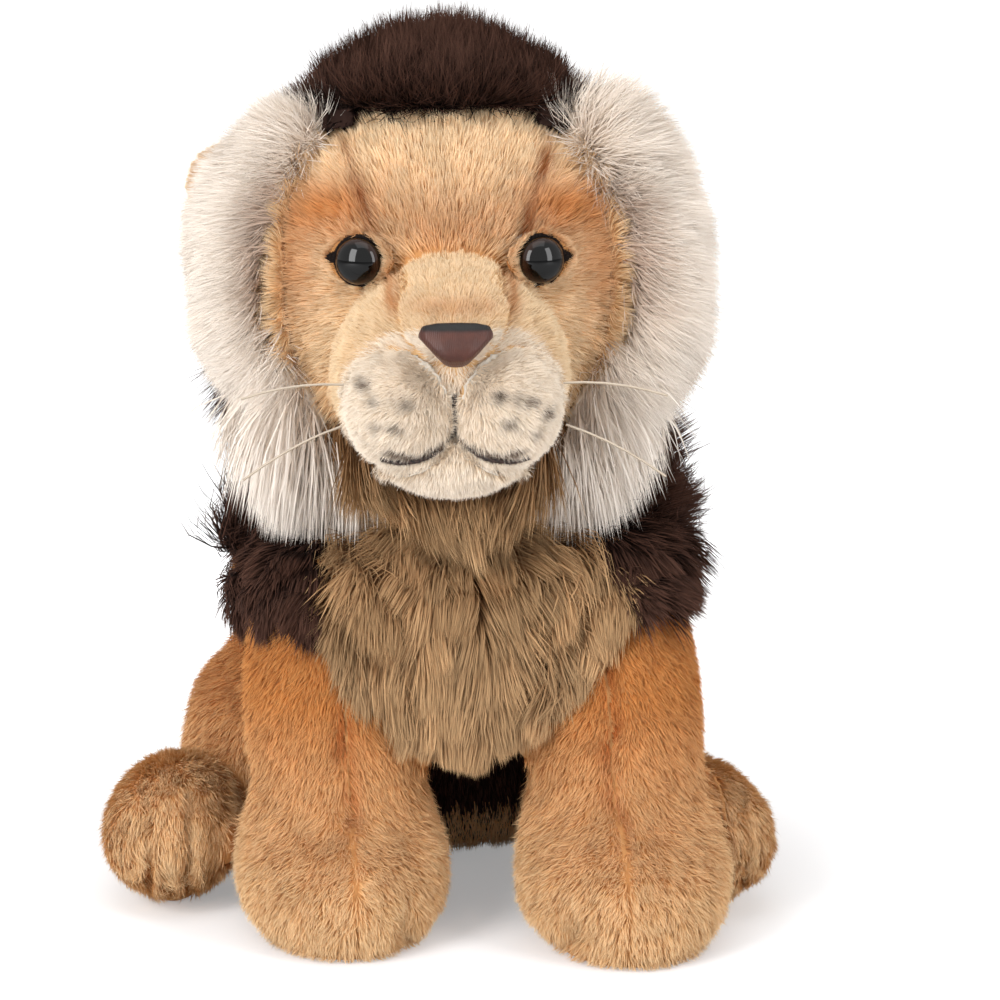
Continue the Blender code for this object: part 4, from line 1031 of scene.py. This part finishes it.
lip_reach = 0.0022
for order, node in enumerate(("muzzle_pad_left", "muzzle_pad_right", "chin")):
    form = bpy.data.objects[node + "_cloth"]
    near = np.array([stitches.find(point)[2] < lip_reach for point in skin(form)[0]]).astype(float)
    pile(node + "_lip_pile", form, ("white_plush", white_pile, {"spots": 0}), near, to_stitches, count=2600,
         long=0.0026, thick=0.00018, clump=0.0015, wild=0.25, seed=151 + order)


# The eyes: round plastic safety eyes, glossy, with a black pupil in a dark brown iris. The stem
# goes through a felt rim and the face into a washer behind, which holds it for good. Short
# black plush is left standing round the rim, and the tan plush of the face lies over its edge.

eye_plastic, tree, shader = new_finish("eye_plastic", rough=0.05, shine=0.34)
iris = joined(tree, "iris", "ValToRGB", in_0=painted(tree, "out"))
rings_of_colour = iris.color_ramp.elements
rings_of_colour[0].color, rings_of_colour[-1].color = (*shade(2, 2, 2), 1), (*shade(5, 4, 4), 1)
for out, paint in ((0.76, (2, 2, 2)), (0.84, (34, 18, 11)), (0.94, (46, 26, 16)), (0.98, (10, 7, 6))):
    rings_of_colour.new(out).color = (*shade(*paint), 1)
dressed(tree, shader, iris.outputs[0])
rim_felt = cloth_finish("rim_felt", (34, 26, 24), (16, 12, 11), 0.0005, 0.5, edge=(190, 134, 82))
rim_pile = pile_finish("rim_pile", (10, 8, 7), (24, 16, 14), (52, 38, 32), 0.2)


def given(node, finish):
    """A small solid that is shown as it is packed, with its finish."""
    materials = frame["nodes"][node].data.materials
    materials.clear()
    materials.append(finish)


def moulded_finish(name, size, dark, light, rough=None):
    """Plastic of one colour, a little uneven as it is moulded or drawn."""
    finish, tree, shader = new_finish(name, rough)
    cloud = yarn_noise(tree, "moulded", own_place(tree), size)
    dressed(tree, shader, blended(tree, "plastic", cloud, dark, light))
    return finish


washer_plastic = moulded_finish("washer_plastic", 0.002, (0.76, 0.76, 0.74), (0.84, 0.84, 0.82))
eye_yaw = math.radians(20)
eye_radius, eye_dome, stem_radius, stem_end = 0.0060, 0.0041, 0.0015, -0.0125
profile = [(eye_radius * math.cos(a), eye_dome * math.sin(a)) for a in np.linspace(math.pi / 2, 0, 15)]
profile += [(stem_radius, 0), (stem_radius, stem_end), (0, stem_end)]
turns = np.linspace(0, 2 * math.pi, 48, endpoint=False)
for side, mark in ((1, "left"), (-1, "right")):
    node = "eye_" + mark
    points = skin(frame["nodes"][node])[0]
    look = Vector(face_ahead) * math.cos(eye_yaw) + Vector(face_right) * side * math.sin(eye_yaw)
    ahead = points @ np.array(look)
    dome_foot = ahead.max() - eye_dome
    middle = Vector(points[ahead > dome_foot - 0.0001].mean(0))
    middle += look * (dome_foot - middle.dot(look))
    turned = look.to_track_quat("Z", "Y").to_matrix()
    bm = bmesh.new()
    rings = []
    for reach, height in profile:
        spread = turns if reach > 1e-6 else (0.0,)
        ring = [Vector((reach * math.cos(t), reach * math.sin(t), height)) for t in spread]
        rings.append([bm.verts.new(middle + turned @ spot) for spot in ring])
    for one, two in zip(rings, rings[1:]):
        for index in range(len(turns)):
            after = (index + 1) % len(turns)
            if len(one) == 1:
                bm.faces.new((one[0], two[index], two[after]))
            elif len(two) == 1:
                bm.faces.new((one[index], two[0], one[after]))
            else:
                bm.faces.new((one[index], two[index], two[after], one[after]))
    bmesh.ops.recalc_face_normals(bm, faces=bm.faces)
    mesh = bpy.data.meshes.new(node + "_plastic")
    bm.to_mesh(mesh)
    bm.free()
    mesh.shade_smooth()
    mesh.set_sharp_from_angle(angle=math.radians(50))
    out = [0.0 if len(ring) == 1 else spot[0] / eye_radius for ring, spot in zip(rings, profile) for _ in ring]
    carried(mesh, "out", out)
    mesh.materials.append(eye_plastic)
    eye = shown(node + "_plastic", mesh)
    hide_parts(node)
    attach(eye, "head")
    given("eye_washer_" + mark, washer_plastic)

    middle = np.array(middle)
    level_way = np.array(Vector((0, 0, 1)).cross(look) * -1)
    rim, _ = stuffed("eye_rim_" + mark, "head", rim_felt, name="eye_rim_" + mark + "_felt", voxel=0.0003,
                     softening=1)
    rim_points, rim_normals = skin(rim)
    from_eye = rim_points - middle
    out = np.hypot(from_eye @ level_way, from_eye[:, 2])
    rim_open = (rim_normals @ np.array(look) > -0.3) * (out > eye_radius * 0.98)
    corner_long = np.where(-side * (from_eye @ level_way) > 0, 0.0042, 0.0024)
    corner = np.abs(from_eye[:, 2] - 0.0006) < 0.0022 * (1 - (out - eye_radius) / corner_long)
    grown_over = (out > eye_radius + 0.0009) * (1 - corner)
    carried(rim.data, "edge", grown_over)

    def rim_brush(roots, normals):
        return roots - middle

    def rim_length(roots):
        """Short over and under the eye, and longer at its two corners."""
        across = (roots - middle) @ level_way
        level = np.abs(across) / np.maximum(np.hypot(across, (roots - middle)[:, 2]), 1e-6)
        return 0.0009 + 0.0006 * rising(level, 0.80, 0.2)

    pile("eye_lid_" + mark + "_pile", rim, ("tan_plush", face_pile, {"brow": brow, "seam": 0}),
         rim_open * grown_over, face_brush, count=3600, long=0.0026, thick=0.00020, stand=0.30, clump=0.002,
         seed=77 + side)
    pile("eye_rim_" + mark + "_pile", rim, ("rim_felt", rim_pile, {}), rim_open * (1.0 - grown_over), rim_brush,
         count=3200, long=rim_length, thick=0.00020, stand=0.35, clump=0.0015, wild=0.2, seed=75 + side)


# The ears: small and round, two layers of tan plush, almost buried in the ruff. Each folds on
# the seam along its inner edge.

for side, mark in ((1, "left"), (-1, "right")):
    node = "ear_" + mark
    ear, ear_open = stuffed(node, node, tan_cloth, voxel=0.0008, softening=3, sink=0.0006,
                            clear=0.001, skip=("ruff_left", "ruff_right", "mane_crown", "head"))
    pile(node + "_pile", ear, plain_face_coat, ear_open, (side * 1.0, 0.0, 0.4), count=8000, long=0.0032,
         thick=0.00025, stand=0.3, seed=91)


# The ruff: a crescent of long cream fur on each side of the face, from the crown down to the
# throat. Its fibres grow outward from the face, and hang in soft locks at the lower ends. Next
# to the face the roots show, and in the valley beside the face the fur is darkened with painted
# shade.

cream_cloth = cloth_finish("cream_cloth", (246, 230, 210), (232, 212, 190), edge=(206, 156, 108))
# The valley_shade mark is painted shade in the recess between the face and the ruff.
cream_pile = pile_finish("cream_pile", (238, 219, 200), (247, 235, 222), (253, 244, 234), 0.05, 0.008,
                         marks=[((178, 148, 126), "valley_shade")], streak=0.05)


def ruff_low(roots):
    """1 in the lobe that hangs beside the throat, and 0 beside the face."""
    return falling(on_face(roots)[1], 0.030, 0.028)


def ruff_outer(roots):
    """1 on the outer side of the lobe, which is drawn in toward the throat."""
    return rising(np.abs(on_face(roots)[0]), 0.040, 0.012) * ruff_low(roots)


def ruff_brush(roots, normals):
    across, up, ahead = on_face(roots)
    out = roots - (neck_place + np.array([0, 0, 0.050]))
    out = out - face_ahead[None, :] * (out @ face_ahead)[:, None] * 0.75
    out[:, 2] -= 0.010
    low = falling(up, 0.024, 0.020)[:, None]
    inward = -face_right[None, :] * (0.030 * np.sign(across) * ruff_outer(roots))[:, None]
    return out * (1 - low) + np.array([0, 0, -0.05]) * low + inward


def ruff_stand(roots):
    return 0.34 - 0.06 * ruff_low(roots) + 0.20 * rising(on_face(roots)[1], 0.070, 0.015)


def ruff_fall(roots):
    return 0.10 + 0.80 * ruff_low(roots)


def past_face(points):
    """How far out a point lies from the line on which the cream fur starts beside the face."""
    across, up, ahead = on_face(points)
    return np.hypot(across, up - 0.046) - (0.0480 - 0.0075 * falling(up, 0.032, 0.020))


# Painted shade: the cream fur in the valley beside the face is darkened, where shade falls.
def valley_shade(roots, normals):
    return falling(past_face(roots), 0.0022, 0.0022) * rising(on_face(roots)[1], 0.034, 0.015) * 0.65


def ruff_draw(points, normals):
    """Beside the face the ruff lies low, so that the whole width of the face shows."""
    return 0.0050 * ruff_outer(points) + 0.0045 * falling(past_face(points), 0.0040, 0.006)


for side, mark, long, over_ear in ((1, "left", 0.0170, 0.0015), (-1, "right", 0.0120, 0.0054)):
    node = "ruff_" + mark

    def ruff_length(roots):
        across, up, ahead = on_face(roots)
        by_ear = bell(up, 0.067, 0.013) * rising(np.abs(across), 0.040, 0.008)
        hanging = long + 0.012 * ruff_low(roots) - 0.012 * ruff_outer(roots)
        high = 0.006 * rising(up, 0.070, 0.012)
        return hanging - 0.003 * rising(up, 0.042, 0.020) + high + over_ear * by_ear

    ruff, ruff_open = stuffed(node, "head", cream_cloth, sink=0.0065, shape=ruff_draw, skip=("mane_crown",))
    ruff_points = skin(ruff)[0]
    ruff_up = on_face(ruff_points)[1]
    cream_part = rising(past_face(ruff_points), 0, 0.002)
    carried(ruff.data, "edge", 1 - cream_part)
    pile(node + "_pile", ruff, ("cream_plush", cream_pile, {"valley_shade": valley_shade}), ruff_open * cream_part,
         ruff_brush, count=44000, long=ruff_length, thick=0.00028, parts=3, stand=ruff_stand, fall=ruff_fall,
         clump=0.0045, gather=0.28, wild=0.16, uneven=0.35, seed=103 + side)
    lobe = ruff_open * cream_part * falling(ruff_up, 0.022, 0.010) * (1 - 0.8 * ruff_outer(ruff_points))
    pile(node + "_lobe_pile", ruff, ("cream_plush", cream_pile, {"valley_shade": 0}), lobe, ruff_brush,
         count=26000, long=0.0290, thick=0.00036, stand=0.34, fall=1.0, clump=0.0075, gather=0.40, steps=3,
         uneven=0.3, seed=113 + side)
    bare = open_skin(ruff, node, skip=("head", "mane_crown")) * (1 - cream_part) * (ruff_up > 0.012)
    pile("cheek_edge_pile_" + mark, ruff, plain_face_coat, bare, face_brush, count=14000, long=0.0060,
         thick=0.00024, stand=0.40, clump=0.0035, seed=108 + side)


# The crown: long dark fur from the brow over the back of the head to the nape, standing up on
# top of the head. Its front edge is a fringe along the crest line of the forehead.


def crown_aside(points):
    """1 on the flanks of the crown, which lie behind the ruff, and 0 on its ridge."""
    return rising(np.abs(on_face(points)[0]), 0.030, 0.008)


def crown_up(roots):
    """1 on the crest, where the fur stands up, and 0 at the back and sides, where it hangs."""
    across, up, ahead = on_face(roots)
    return rising(up, 0.066, 0.014) * rising(ahead, -0.034, 0.022)


def crown_brush(roots, normals):
    ways = roots - neck_place - np.array([0, 0.0, 0.060])
    ways[:, 2] += -0.06 + 0.10 * crown_up(roots)
    back = np.where(on_face(roots)[1] > 0.036, 0.10, 0.0) * crown_aside(roots)
    return ways - face_ahead[None, :] * back[:, None]


def crown_length(roots):
    across, up, ahead = on_face(roots)
    ridge = 0.0150 - 0.0025 * rising(np.abs(across), 0.010, 0.014)
    flank = falling(up, 0.036, 0.012) * rising(np.abs(across), 0.026, 0.006)
    shorter = 1 - 0.40 * crown_aside(roots) * (ahead > -0.02) * (up > 0.040)
    return np.where(up > 0.080, ridge, 0.0180) * shorter + 0.004 * flank


def crown_stand(roots):
    return (0.32 + 0.38 * crown_up(roots)) * (1 - 0.6 * crown_aside(roots) * (on_face(roots)[1] > 0.036))


def crest_brush(roots, normals):
    return np.array([0, 0, 1.0]) + face_right[None, :] * (on_face(roots)[0] * 5)[:, None]


crown, crown_open = stuffed("mane_crown", "head", dark_cloth, sink=0.010, skip=("neck_plug",))
crown_points = skin(crown)[0]
across, up, ahead = on_face(crown_points)
under_crest = (ahead > 0.010) * (above_crest(crown_points) < 0.003)
notch = under_crest * ((np.abs(across) < 0.024) | (above_crest(crown_points) < -0.001))
crown_points = crown_points - face_ahead[None, :] * (0.008 * notch)[:, None]
reshaped(crown, crown_points)
across, up, ahead = on_face(crown_points)
crown_part = crown_open * (1 - (up < 0.016) * (ahead > 0.004)) * (1 - under_crest)
pile("mane_crown_pile", crown, dark_coat, crown_part, crown_brush, count=40000, long=crown_length,
     thick=0.00030, parts=4, stand=crown_stand, clump=0.0045, wild=0.18, uneven=0.35, seed=121)
fringe = head_open * rising(head_above, -0.001, 0.002) * falling(head_above, 0.007, 0.001)
pile("mane_crown_front_pile", head, dark_coat, fringe * (on_face(skin(head)[0])[2] > 0.0), crest_brush,
     count=18000, long=0.0120, thick=0.00034, stand=0.20, clump=0.0040, steps=3, wild=0.06, seed=127)


# The whiskers: two pale nylon bristles a side, drawn through the muzzle pads and knotted inside.

whisker_nylon = moulded_finish("whisker_nylon", 0.004, shade(178, 162, 142), shade(200, 186, 168), rough=0.3)
for side in ("left", "right"):
    for level in ("upper", "lower"):
        given("whisker_" + side + "_" + level, whisker_nylon)
